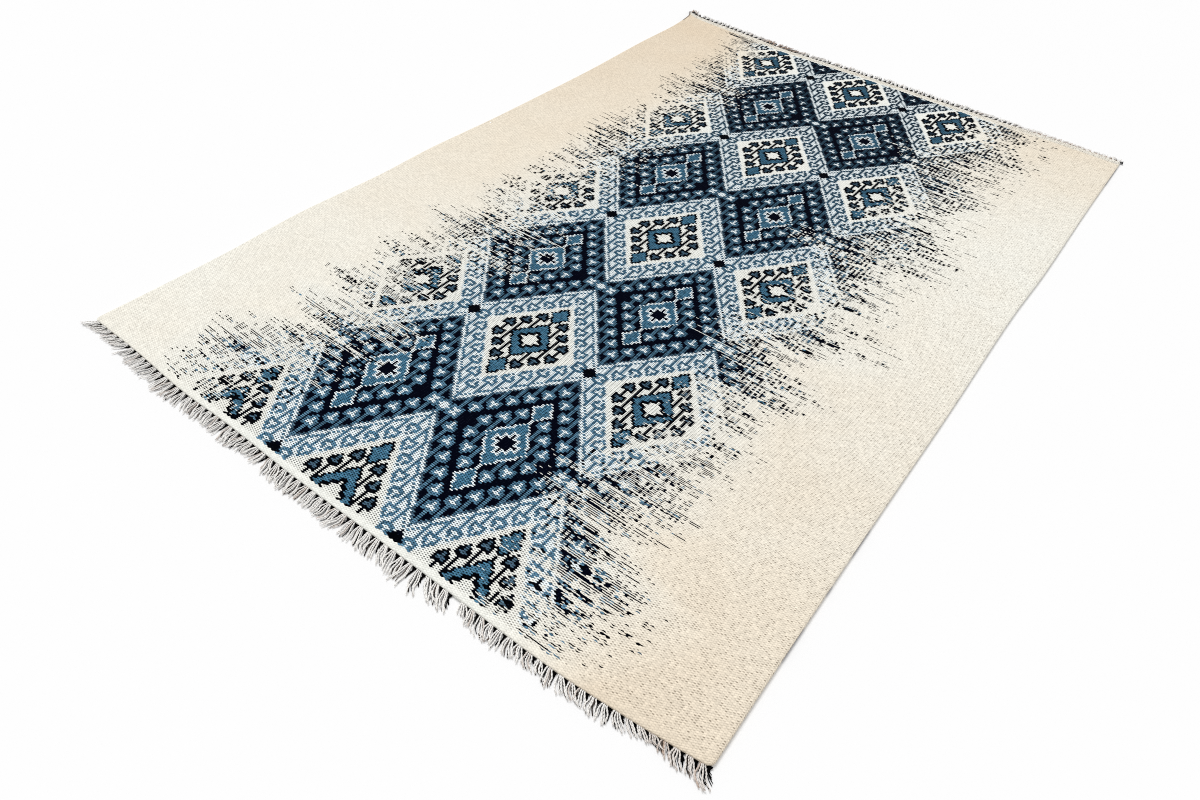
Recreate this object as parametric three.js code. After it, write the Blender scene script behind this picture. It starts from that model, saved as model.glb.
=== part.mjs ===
// Flat-woven rug with a fringe of yarn locks along both short ends.
// Millimetres. +X runs across the rug, +Y from the near end to the far end, +Z up.
// The rug lies flat, so every solid has its underside on the plane z = 0.

import * as THREE from 'three';

// Driving dimensions of the cloth
const CLOTH_WIDTH = 1520;
const CLOTH_LENGTH = 2350;
const CLOTH_THICKNESS = 6;
const EDGE_ROUND = 1.8;
const EDGE_ROUND_STEPS = 1;
const END_STEPS = 30;
const SIDE_STEPS = 30;
const CORNER_POINTS = 5;

// The strip that is parted from the cloth's edge and carries the locks
const PIECE_GAP = 0.3;
const STRIP_WIDTH = 5.5;
const STRIP_HEIGHT = 4.6;
const STRIP_END_INSET = 7;

// The fringe is gathered in bundles, each split into two locks
const BUNDLE_COUNT = 75;
const LOCKS_IN_BUNDLE = 2;
const LOCK_SPACING_AT_ROOT = 6.6;
const LOCK_FAN_SHARE = 0.35;
const LOCK_TOP_SHARE = 0.55;
const LOCK_CLEARANCE = 1.1;
const SMALLEST_LOCK_WIDTH = 1.2;
const LEAN_SPREAD = 4;
const RAGGED_SHARE = 0.12;
const SWEEP_AT_ROOT = 0.45;

// How far each edge of the cloth strays outwards from the plain rectangle.
// "along" runs from 0 to 1: left to right on the ends, near to far on the sides.
const NEAR_EDGE = [
  { along: 0.00, out: -14 },
  { along: 0.09, out: -6 },
  { along: 0.20, out: 9 },
  { along: 0.30, out: 12 },
  { along: 0.42, out: 21 },
  { along: 0.57, out: 26 },
  { along: 0.70, out: 31 },
  { along: 0.82, out: 35 },
  { along: 0.90, out: 30 },
  { along: 0.96, out: 23 },
  { along: 1.00, out: 17 },
];
const FAR_EDGE = [
  { along: 0.00, out: 17 },
  { along: 0.04, out: 10 },
  { along: 0.11, out: -1 },
  { along: 0.25, out: -2 },
  { along: 0.38, out: -6 },
  { along: 0.52, out: 0 },
  { along: 0.72, out: -1 },
  { along: 0.85, out: 8 },
  { along: 0.93, out: 0 },
  { along: 1.00, out: 1 },
];
const LEFT_EDGE = [
  { along: 0.00, out: 7 },
  { along: 0.06, out: 4 },
  { along: 0.14, out: 3 },
  { along: 0.23, out: 11 },
  { along: 0.34, out: 1 },
  { along: 0.42, out: 4 },
  { along: 0.52, out: -6 },
  { along: 0.63, out: -11 },
  { along: 0.72, out: -13 },
  { along: 0.85, out: -6 },
  { along: 0.93, out: -7 },
  { along: 0.97, out: 1 },
  { along: 1.00, out: 17 },
];
const RIGHT_EDGE = [
  { along: 0.00, out: 7 },
  { along: 0.08, out: 4 },
  { along: 0.25, out: 2 },
  { along: 0.40, out: 2 },
  { along: 0.58, out: -2 },
  { along: 0.68, out: 3 },
  { along: 0.85, out: 2 },
  { along: 1.00, out: 4 },
];

// Corner roundings, in the order in which the outline meets them
const CORNER_RADIUS = { nearRight: 17, farRight: 5, farLeft: 6, nearLeft: 7 };

// The lie of the locks along each end. "lean" is in degrees, towards +X.
const NEAR_FRINGE = {
  name: 'fringe_near',
  outwards: -1,
  edge: NEAR_EDGE,
  seed: 11,
  stations: [0, 0.3, 0.7, 1],
  lengthSpread: 3.5,
  gaps: [{ from: 0.682, to: 0.696 }],
  lie: [
    { along: 0.00, lean: -20, length: 31 },
    { along: 0.06, lean: -16, length: 34 },
    { along: 0.12, lean: 2, length: 40 },
    { along: 0.17, lean: 0, length: 38 },
    { along: 0.21, lean: -18, length: 45 },
    { along: 0.26, lean: -27, length: 46 },
    { along: 0.31, lean: -38, length: 48 },
    { along: 0.37, lean: -38, length: 48 },
    { along: 0.43, lean: -20, length: 53 },
    { along: 0.47, lean: -11, length: 47 },
    { along: 0.52, lean: -26, length: 46 },
    { along: 0.57, lean: -27, length: 50 },
    { along: 0.61, lean: -22, length: 48 },
    { along: 0.66, lean: 4, length: 46 },
    { along: 0.70, lean: -2, length: 34 },
    { along: 0.75, lean: 14, length: 34 },
    { along: 0.80, lean: 15, length: 32 },
    { along: 0.84, lean: 30, length: 40 },
    { along: 0.88, lean: 34, length: 38 },
    { along: 0.905, lean: 36, length: 43 },
    { along: 0.945, lean: 24, length: 40 },
    { along: 0.97, lean: 24, length: 36 },
    { along: 1.00, lean: 52, length: 42 },
  ],
};
const FAR_FRINGE = {
  name: 'fringe_far',
  outwards: 1,
  edge: FAR_EDGE,
  seed: 23,
  stations: [0, 0.5, 1],
  lengthSpread: 3,
  gaps: [],
  lie: [
    { along: 0.00, lean: -12, length: 18 },
    { along: 0.10, lean: 4, length: 25 },
    { along: 0.30, lean: 14, length: 30 },
    { along: 0.50, lean: -6, length: 28 },
    { along: 0.70, lean: 8, length: 30 },
    { along: 0.90, lean: 18, length: 28 },
    { along: 1.00, lean: 4, length: 24 },
  ],
};

// A lock's width and height from root (0) to tip (1). Its root is as high as the strip.
const LOCK_SHAPE = [
  { along: 0.00, width: 5.4, height: 4.4 },
  { along: 0.30, width: 8.0, height: 4.0 },
  { along: 0.70, width: 8.0, height: 3.2 },
  { along: 1.00, width: 3.6, height: 1.8 },
];

/** A smooth curve through one column of a table whose rows stand at their "along" values. */
function readTable(table, column, along) {
  const last = table.length - 1;
  let i = 0;
  while (i < last - 1 && along > table[i + 1].along) {
    i += 1;
  }
  const slopeAt = (k) => {
    const before = table[Math.max(k - 1, 0)];
    const after = table[Math.min(k + 1, last)];
    return (after[column] - before[column]) / (after.along - before.along);
  };
  const from = table[i];
  const to = table[i + 1];
  const span = to.along - from.along;
  const t = THREE.MathUtils.clamp((along - from.along) / span, 0, 1);
  const bend = t * t * (3 - 2 * t);
  const leave = t * (1 - t) * (1 - t) * span * slopeAt(i);
  const arrive = t * t * (t - 1) * span * slopeAt(i + 1);
  return from[column] + (to[column] - from[column]) * bend + leave + arrive;
}

/** Seeded random numbers from 0 to 1, the same on each run. */
function makeRandom(seed) {
  let state = seed >>> 0;
  return () => {
    state = (state + 0x6d2b79f5) >>> 0;
    let t = state;
    t = Math.imul(t ^ (t >>> 15), t | 1);
    t ^= t + Math.imul(t ^ (t >>> 7), t | 61);
    return ((t ^ (t >>> 14)) >>> 0) / 4294967296;
  };
}

/** The point of a short end at a place from 0 (left) to 1 (right). */
function endPoint(edge, outwards, along) {
  const middle = outwards < 0 ? 0 : CLOTH_LENGTH;
  const x = (along - 0.5) * CLOTH_WIDTH;
  return new THREE.Vector2(x, middle + outwards * readTable(edge, 'out', along));
}

/** The point of a long side at a place from 0 (near) to 1 (far), between two corners. */
function sidePoint(edge, outwards, along) {
  const endShare = outwards < 0 ? 0 : 1;
  const nearEnd = endPoint(NEAR_EDGE, -1, endShare).y;
  const farEnd = endPoint(FAR_EDGE, 1, endShare).y;
  const x = outwards * (CLOTH_WIDTH / 2 + readTable(edge, 'out', along));
  return new THREE.Vector2(x, THREE.MathUtils.lerp(nearEnd, farEnd, along));
}

/** Points of a rounded corner between the last point of one edge and the first of the next. */
function cornerPoints(start, corner, end) {
  const curve = new THREE.QuadraticBezierCurve(start, corner, end);
  return curve.getPoints(CORNER_POINTS).slice(1, -1);
}

/** Even places along an edge from 0 to 1, with the first and last drawn in by an inset. */
function placesAlong(steps, firstInset, lastInset) {
  const places = [firstInset];
  for (let i = 1; i < steps; i += 1) {
    places.push(i / steps);
  }
  places.push(1 - lastInset);
  return places;
}

/** Points along an edge, kept a corner's radius clear of both its ends. */
function edgeRun(pointAt, runLength, steps, radiusAtStart, radiusAtEnd) {
  const places = placesAlong(steps, radiusAtStart / runLength, radiusAtEnd / runLength);
  return places.map(pointAt);
}

/** The cloth's outline, anticlockwise from its near left corner. */
function clothOutline() {
  const r = CORNER_RADIUS;
  const near = (t) => endPoint(NEAR_EDGE, -1, t);
  const far = (t) => endPoint(FAR_EDGE, 1, t);
  const left = (t) => sidePoint(LEFT_EDGE, -1, t);
  const right = (t) => sidePoint(RIGHT_EDGE, 1, t);
  const nearRun = edgeRun(near, CLOTH_WIDTH, END_STEPS, r.nearLeft, r.nearRight);
  const rightRun = edgeRun(right, CLOTH_LENGTH, SIDE_STEPS, r.nearRight, r.farRight);
  const farRun = edgeRun(far, CLOTH_WIDTH, END_STEPS, r.farLeft, r.farRight).reverse();
  const leftRun = edgeRun(left, CLOTH_LENGTH, SIDE_STEPS, r.nearLeft, r.farLeft).reverse();
  const runs = [nearRun, rightRun, farRun, leftRun];
  const corners = [
    new THREE.Vector2(right(0).x, near(1).y),
    new THREE.Vector2(right(1).x, far(1).y),
    new THREE.Vector2(left(1).x, far(0).y),
    new THREE.Vector2(left(0).x, near(0).y),
  ];
  const outline = [];
  runs.forEach((run, i) => {
    const next = runs[(i + 1) % runs.length];
    outline.push(...run, ...cornerPoints(run[run.length - 1], corners[i], next[0]));
  });
  return outline;
}

/** The woven sheet: its outline carried up by its thickness, with rounded rims. */
function wovenBody() {
  const geometry = new THREE.ExtrudeGeometry(new THREE.Shape(clothOutline()), {
    depth: CLOTH_THICKNESS - 2 * EDGE_ROUND,
    bevelEnabled: true,
    bevelThickness: EDGE_ROUND,
    bevelSize: EDGE_ROUND,
    bevelOffset: -EDGE_ROUND,
    bevelSegments: EDGE_ROUND_STEPS,
  });
  return geometry.translate(0, 0, EDGE_ROUND);
}

/** Gathers points and faces of one closed surface. */
class Surface {
  constructor(isMirrored) {
    this.positions = [];
    this.index = [];
    this.isMirrored = isMirrored;
  }

  /** Adds a point and gives its number. */
  point(x, y, z) {
    this.positions.push(x, y, z);
    return this.positions.length / 3 - 1;
  }

  /** Adds a triangle, turned round where the surface is a mirrored one. */
  triangle(a, b, c) {
    this.index.push(a, ...(this.isMirrored ? [c, b] : [b, c]));
  }

  /** Adds a face of four corners. */
  quad(a, b, c, d) {
    this.triangle(a, b, c);
    this.triangle(a, c, d);
  }

  /** Fills the band between two rows of points that both run towards +X. */
  band(rowA, rowB) {
    let a = 0;
    let b = 0;
    const xOf = (number) => this.positions[3 * number];
    while (a < rowA.length - 1 || b < rowB.length - 1) {
      const nextA = a < rowA.length - 1 ? xOf(rowA[a + 1]) : Infinity;
      const nextB = b < rowB.length - 1 ? xOf(rowB[b + 1]) : Infinity;
      if (nextA <= nextB) {
        this.triangle(rowA[a], rowA[a + 1], rowB[b]);
        a += 1;
      } else {
        this.triangle(rowA[a], rowB[b + 1], rowB[b]);
        b += 1;
      }
    }
  }

  toGeometry() {
    const geometry = new THREE.BufferGeometry();
    geometry.setAttribute('position', new THREE.Float32BufferAttribute(this.positions, 3));
    geometry.setIndex(this.index);
    geometry.computeVertexNormals();
    return geometry;
  }
}

/** Where each lock starts and how it lies: one entry a lock, from left to right. */
function lockPlan(fringe) {
  const random = makeRandom(fringe.seed);
  const pitch = (CLOTH_WIDTH - 2 * STRIP_END_INSET) / BUNDLE_COUNT;
  const plan = [];
  for (let b = 0; b < BUNDLE_COUNT; b += 1) {
    const along = (STRIP_END_INSET + (b + 0.5) * pitch) / CLOTH_WIDTH;
    const leanJitter = (random() - 0.5) * LEAN_SPREAD;
    const lengthJitter = (random() - 0.5) * fringe.lengthSpread;
    if (fringe.gaps.some((gap) => along > gap.from && along < gap.to)) {
      continue;
    }
    const lean = THREE.MathUtils.degToRad(readTable(fringe.lie, 'lean', along) + leanJitter);
    const length = readTable(fringe.lie, 'length', along) + lengthJitter;
    for (let k = 0; k < LOCKS_IN_BUNDLE; k += 1) {
      const side = k - (LOCKS_IN_BUNDLE - 1) / 2;
      const lock = {
        bundleX: (along - 0.5) * CLOTH_WIDTH,
        rootShift: side * LOCK_SPACING_AT_ROOT,
        fanShift: (side * pitch) / LOCKS_IN_BUNDLE,
        sideways: length * Math.sin(lean),
        reach: length * Math.cos(lean) * (1 - RAGGED_SHARE * random()),
      };
      lock.stations = fringe.stations.map((share) => lockStation(fringe, lock, share));
      plan.push(lock);
    }
  }
  return plan;
}

/** The middle of a lock at a share of its length: it leaves steeply and sweeps over later. */
function lockStation(fringe, lock, share) {
  const fanned = Math.min(share / LOCK_FAN_SHARE, 1);
  const fan = THREE.MathUtils.lerp(lock.rootShift, lock.fanShift, fanned);
  const bend = share * THREE.MathUtils.lerp(SWEEP_AT_ROOT, 1, share);
  const root = stripFaceY(fringe, lock.bundleX + lock.rootShift);
  return {
    share,
    x: lock.bundleX + fan + lock.sideways * bend,
    y: root + fringe.outwards * lock.reach * share,
  };
}

/** The outer face of the strip at a place across the rug. */
function stripFaceY(fringe, x) {
  const edge = endPoint(fringe.edge, fringe.outwards, x / CLOTH_WIDTH + 0.5);
  return edge.y + fringe.outwards * (PIECE_GAP + STRIP_WIDTH);
}

/** A lock's middle across X at a given Y, or null past its tip. */
function lockMiddleAt(lock, y, outwards) {
  const stations = lock.stations;
  const past = (station) => outwards * (station.y - y) >= 0;
  const next = stations.findIndex((station, i) => i > 0 && past(station));
  if (next < 0) {
    return null;
  }
  const from = stations[next - 1];
  const to = stations[next];
  return THREE.MathUtils.mapLinear(y, from.y, to.y, from.x, to.x);
}

/** The width of a lock at one station: what its shape asks for, or what its neighbours leave. */
function lockWidth(plan, i, station, outwards) {
  let width = readTable(LOCK_SHAPE, 'width', station.share);
  [plan[i - 1], plan[i + 1]].filter(Boolean).forEach((other) => {
    const middle = lockMiddleAt(other, station.y, outwards);
    if (middle !== null) {
      width = Math.min(width, Math.abs(middle - station.x) - LOCK_CLEARANCE);
    }
  });
  return Math.max(width, SMALLEST_LOCK_WIDTH);
}

/** Carries one lock out from its four root points on the strip to its tip. */
function addLock(surface, fringe, plan, i, root) {
  let ring = root;
  plan[i].stations.slice(1).forEach((station) => {
    const half = lockWidth(plan, i, station, fringe.outwards) / 2;
    const height = readTable(LOCK_SHAPE, 'height', station.share);
    const top = half * LOCK_TOP_SHARE;
    const next = [
      surface.point(station.x - half, station.y, 0),
      surface.point(station.x + half, station.y, 0),
      surface.point(station.x + top, station.y, height),
      surface.point(station.x - top, station.y, height),
    ];
    ring.forEach((corner, c) => {
      const d = (c + 1) % ring.length;
      surface.quad(corner, ring[d], next[d], next[c]);
    });
    ring = next;
  });
  surface.quad(...ring);
}

/** One end's fringe: a strip along the cloth's edge with every lock growing out of its face. */
function fringeBody(fringe) {
  const surface = new Surface(fringe.outwards > 0);
  const inset = STRIP_END_INSET / CLOTH_WIDTH;
  const column = (x, y) => ({ low: surface.point(x, y, 0), high: surface.point(x, y, STRIP_HEIGHT) });
  const inner = placesAlong(END_STEPS, inset, inset).map((along) => {
    const edge = endPoint(fringe.edge, fringe.outwards, along);
    return column(edge.x, edge.y + fringe.outwards * PIECE_GAP);
  });
  const endX = CLOTH_WIDTH / 2 - STRIP_END_INSET;
  const outer = [column(-endX, stripFaceY(fringe, -endX))];
  const plan = lockPlan(fringe);
  plan.forEach((lock, i) => {
    const root = lock.stations[0];
    const half = lockWidth(plan, i, root, fringe.outwards) / 2;
    const left = column(root.x - half, stripFaceY(fringe, root.x - half));
    const right = column(root.x + half, stripFaceY(fringe, root.x + half));
    const before = outer[outer.length - 1];
    surface.quad(before.low, left.low, left.high, before.high);
    addLock(surface, fringe, plan, i, [left.low, right.low, right.high, left.high]);
    outer.push(left, right);
  });
  const last = column(endX, stripFaceY(fringe, endX));
  const before = outer[outer.length - 1];
  surface.quad(before.low, last.low, last.high, before.high);
  outer.push(last);
  surface.band(outer.map((c) => c.high), inner.map((c) => c.high));
  surface.band(inner.map((c) => c.low), outer.map((c) => c.low));
  surface.band(inner.map((c) => c.high), inner.map((c) => c.low));
  const [innerStart, innerEnd] = [inner[0], inner[inner.length - 1]];
  surface.quad(innerStart.low, outer[0].low, outer[0].high, innerStart.high);
  surface.quad(last.low, innerEnd.low, innerEnd.high, last.high);
  return surface.toGeometry();
}

/** A mesh named for its sub-part, with its own finish. */
function namedMesh(name, geometry, colour, roughness) {
  const material = new THREE.MeshStandardMaterial({ color: colour, roughness, metalness: 0 });
  const mesh = new THREE.Mesh(geometry, material);
  mesh.name = name;
  return mesh;
}

const rug = new THREE.Group();
rug.add(namedMesh('woven_body', wovenBody(), 0xd8cfbe, 0.95));
rug.add(namedMesh(NEAR_FRINGE.name, fringeBody(NEAR_FRINGE), 0xe6dccb, 0.9));
rug.add(namedMesh(FAR_FRINGE.name, fringeBody(FAR_FRINGE), 0xe2d6c4, 0.9));

// The origin stands at the middle of the whole rug, fringe included, on the ground.
const box = new THREE.Box3().setFromObject(rug);
const middle = box.getCenter(new THREE.Vector3());
rug.children.forEach((mesh) => mesh.geometry.translate(-middle.x, -middle.y, 0));

export default rug;
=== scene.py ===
"""The looks of a flat-woven rug: a worn lattice of stepped diamonds on ivory, fringed at both ends.

Metres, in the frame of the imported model: +X across the rug, +Y from the near end to the far end, +Z up.
Tables that belong to the cloth are in millimetres, as a maker would measure them, and read through MM.
"""

import logging
import math
from dataclasses import dataclass, field
from enum import IntEnum
from typing import Any

import bpy
import numpy as np
from mathutils import Matrix, Vector


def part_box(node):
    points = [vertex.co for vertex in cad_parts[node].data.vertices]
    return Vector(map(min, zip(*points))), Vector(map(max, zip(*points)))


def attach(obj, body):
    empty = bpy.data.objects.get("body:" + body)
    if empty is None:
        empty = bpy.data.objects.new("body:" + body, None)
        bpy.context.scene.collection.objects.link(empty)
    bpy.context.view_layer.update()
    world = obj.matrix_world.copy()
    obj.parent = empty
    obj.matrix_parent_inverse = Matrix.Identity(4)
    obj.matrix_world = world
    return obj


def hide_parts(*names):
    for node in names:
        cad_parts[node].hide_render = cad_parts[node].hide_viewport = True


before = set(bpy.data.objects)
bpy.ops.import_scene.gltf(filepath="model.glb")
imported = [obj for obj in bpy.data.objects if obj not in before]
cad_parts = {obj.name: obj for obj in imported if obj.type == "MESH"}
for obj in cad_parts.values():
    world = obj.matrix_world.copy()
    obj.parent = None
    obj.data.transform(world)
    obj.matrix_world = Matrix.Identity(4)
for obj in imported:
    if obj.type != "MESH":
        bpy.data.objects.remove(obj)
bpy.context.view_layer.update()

LOG = logging.getLogger("rug")
MM = 0.001
# Blending random numbers narrows their spread, and this brings it back to about 1
BLEND_GAIN = 1.5
# Slope of the curve that comes closest to the sum of the bell curve
BELL_SLOPE = 1.702

Array = np.ndarray
Table = dict[str, tuple[float, ...]]
Pair = tuple[float, float]
Colour = tuple[float, float, float]
Srgb = tuple[int, int, int]

# How far each edge of the cloth strays outwards from the plain rectangle, in millimetres.
# "along" runs from 0 to 1: left to right on the ends, near to far on the sides.
NEAR_EDGE: Table = {
    "along": (0, 0.09, 0.20, 0.30, 0.42, 0.57, 0.70, 0.82, 0.90, 0.96, 1),
    "out": (-11, -5, 9, 12, 21, 26, 31, 35, 30, 23, 17),
}
FAR_EDGE: Table = {
    "along": (0, 0.012, 0.04, 0.11, 0.17, 0.25, 0.38, 0.52, 0.72, 0.85, 0.93, 1),
    "out": (38, 26, 15, 8, 1, -9, -2, 5, 6, 12, 14, 14),
}
LEFT_EDGE: Table = {
    "along": (0, 0.06, 0.14, 0.23, 0.34, 0.42, 0.52, 0.63, 0.72, 0.85, 0.93, 0.97, 0.988, 1),
    "out": (7, 4, 3, 11, 1, 4, -6, -11, -13, -6, -7, 1, 9, 26),
}
RIGHT_EDGE: Table = {
    "along": (0, 0.08, 0.25, 0.40, 0.58, 0.68, 0.85, 1),
    "out": (7, 4, 2, 2, -2, 3, 2, 4),
}


def read_table(table: Table, column: str, along: Array) -> Array:
    """Reads a smooth curve through one column of a table.

    Between two rows the curve is a cubic. Its slope at a row is that of the line between the
    row's two neighbours.

    Args:
        table: Columns of equal length, one of them "along", which rises.
        column: The column to read.
        along: Places at which to read it.

    Returns:
        The column's value at each place.
    """
    x, y = np.array(table["along"], float), np.array(table[column], float)
    rows = np.arange(len(x))
    before, after = np.maximum(rows - 1, 0), np.minimum(rows + 1, len(x) - 1)
    slope = (y[after] - y[before]) / (x[after] - x[before])
    i = np.clip(np.searchsorted(x, along) - 1, 0, len(x) - 2)
    span = x[i + 1] - x[i]
    t = np.clip((along - x[i]) / span, 0, 1)
    bend = t * t * (3 - 2 * t)
    leave = t * (1 - t) ** 2 * span * slope[i]
    arrive = t * t * (t - 1) * span * slope[i + 1]
    return y[i] + (y[i + 1] - y[i]) * bend + leave + arrive


def soft_noise(rng: np.random.Generator, counts: tuple[int, int], cells: Pair) -> Array:
    """Random hills and hollows on a grid, with a spread of about 1.

    Random numbers stand on a coarse grid, and tent-shaped weights blend them in between.

    Args:
        rng: Source of chance.
        counts: Size of the grid.
        cells: Distance between the coarse grid's points, in steps of the grid.

    Returns:
        The heights.
    """
    nodes = [int(count / cell) + 2 for count, cell in zip(counts, cells)]
    tents = [
        np.clip(1 - np.abs(np.arange(count)[:, None] / cell - np.arange(node)), 0, 1)
        for count, cell, node in zip(counts, cells, nodes)
    ]
    return tents[0] @ rng.standard_normal(nodes) @ tents[1].T * BLEND_GAIN


def smooth_step(low: float | Array, high: float | Array, value: Array) -> Array:
    """Rises from 0 at low to 1 at high, level at both ends."""
    t = np.clip((value - low) / (high - low), 0, 1)
    return t * t * (3 - 2 * t)


def evened(spread: Array) -> Array:
    """Turns bell-shaped random numbers of spread 1 into even ones from 0 to 1."""
    return 1 / (1 + np.exp(-BELL_SLOPE * spread))


def linear(srgb: Srgb) -> Colour:
    """Turns a colour of three numbers up to 255 into Blender's linear colour."""
    return tuple((c / 255 / 12.92) if c <= 10 else ((c / 255 + 0.055) / 1.055) ** 2.4 for c in srgb)


def table_field(**columns: tuple[float, ...]) -> Any:
    """Makes a dataclass field that holds a table of these columns."""
    return field(default_factory=lambda: columns)


def smooth_mesh(name: str, points: Array, faces: list[list[int]]) -> bpy.types.Mesh:
    """Makes a smooth-shaded mesh.

    Args:
        name: The mesh's name.
        points: Its points, in metres.
        faces: The numbers of each face's points, anticlockwise from outside.

    Returns:
        The mesh.
    """
    mesh = bpy.data.meshes.new(name)
    mesh.from_pydata(points.tolist(), [], faces)
    mesh.polygons.foreach_set("use_smooth", np.ones(len(faces), bool))
    return mesh


def add_map(mesh: bpy.types.Mesh, name: str, places: Array) -> None:
    """Adds a UV map with a place for each corner of each face."""
    mesh.uv_layers.new(name=name).data.foreach_set("uv", places.astype(np.float32).ravel())


def add_values(mesh: bpy.types.Mesh, name: str, domain: str, values: Array) -> None:
    """Adds an attribute of one number or of three.

    Args:
        mesh: The mesh.
        name: The attribute's name.
        domain: "POINT" or "FACE".
        values: A number, or a row of three, for each point or face.
    """
    kind, key = ("FLOAT_VECTOR", "vector") if values.ndim == 2 else ("FLOAT", "value")
    mesh.attributes.new(name, kind, domain).data.foreach_set(key, values.astype(np.float32).ravel())


def add_object(name: str, data: bpy.types.ID) -> bpy.types.Object:
    """Puts a mesh, a light or a camera into the scene, at the origin.

    Args:
        name: The new object's name.
        data: What it shows.

    Returns:
        The object.
    """
    added = bpy.data.objects.new(name, data)
    bpy.context.scene.collection.objects.link(added)
    return added


class Yarn(IntEnum):
    """The colours of yarn in the cloth."""

    IVORY = 0
    WHITE = 1
    BLUE = 2
    TEAL = 3
    SLATE = 4
    NAVY = 5
    BLACK = 6


# Added to the number of a half-worn stitch where it is the upper one of its two picks that is left
UPPER = 7

YARN_COLOURS: dict[Yarn, Srgb] = {
    Yarn.IVORY: (243, 244, 237),
    Yarn.WHITE: (238, 247, 249),
    Yarn.BLUE: (82, 122, 148),
    Yarn.TEAL: (66, 114, 142),
    Yarn.SLATE: (70, 96, 116),
    Yarn.NAVY: (1, 3, 16),
    Yarn.BLACK: (1, 2, 6),
}


class Mark(IntEnum):
    """What a stitch belongs to in the charted repeat."""

    FIELD = 0
    BAND = 1
    OUTLINE = 2
    FILL = 3
    HEAD = 4
    HEAD_HEART = 5
    BORDER = 6
    BORDER_HEART = 7
    EDGE = 8
    SEAM = 9
    NODE = 10
    NODE_RIM = 11


# The yarn of each mark, in a light diamond and in a dark one
YARN_OF_MARK: dict[Mark, tuple[Yarn, Yarn]] = {
    Mark.FIELD: (Yarn.IVORY, Yarn.NAVY),
    Mark.BAND: (Yarn.WHITE, Yarn.NAVY),
    Mark.OUTLINE: (Yarn.BLACK, Yarn.WHITE),
    Mark.FILL: (Yarn.TEAL, Yarn.TEAL),
    Mark.HEAD: (Yarn.BLACK, Yarn.BLUE),
    Mark.HEAD_HEART: (Yarn.SLATE, Yarn.WHITE),
    Mark.BORDER: (Yarn.BLUE, Yarn.BLUE),
    Mark.BORDER_HEART: (Yarn.WHITE, Yarn.WHITE),
    Mark.EDGE: (Yarn.BLUE, Yarn.SLATE),
    Mark.SEAM: (Yarn.WHITE, Yarn.WHITE),
    Mark.NODE: (Yarn.BLACK, Yarn.WHITE),
    Mark.NODE_RIM: (Yarn.NAVY, Yarn.BLUE),
}


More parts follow.
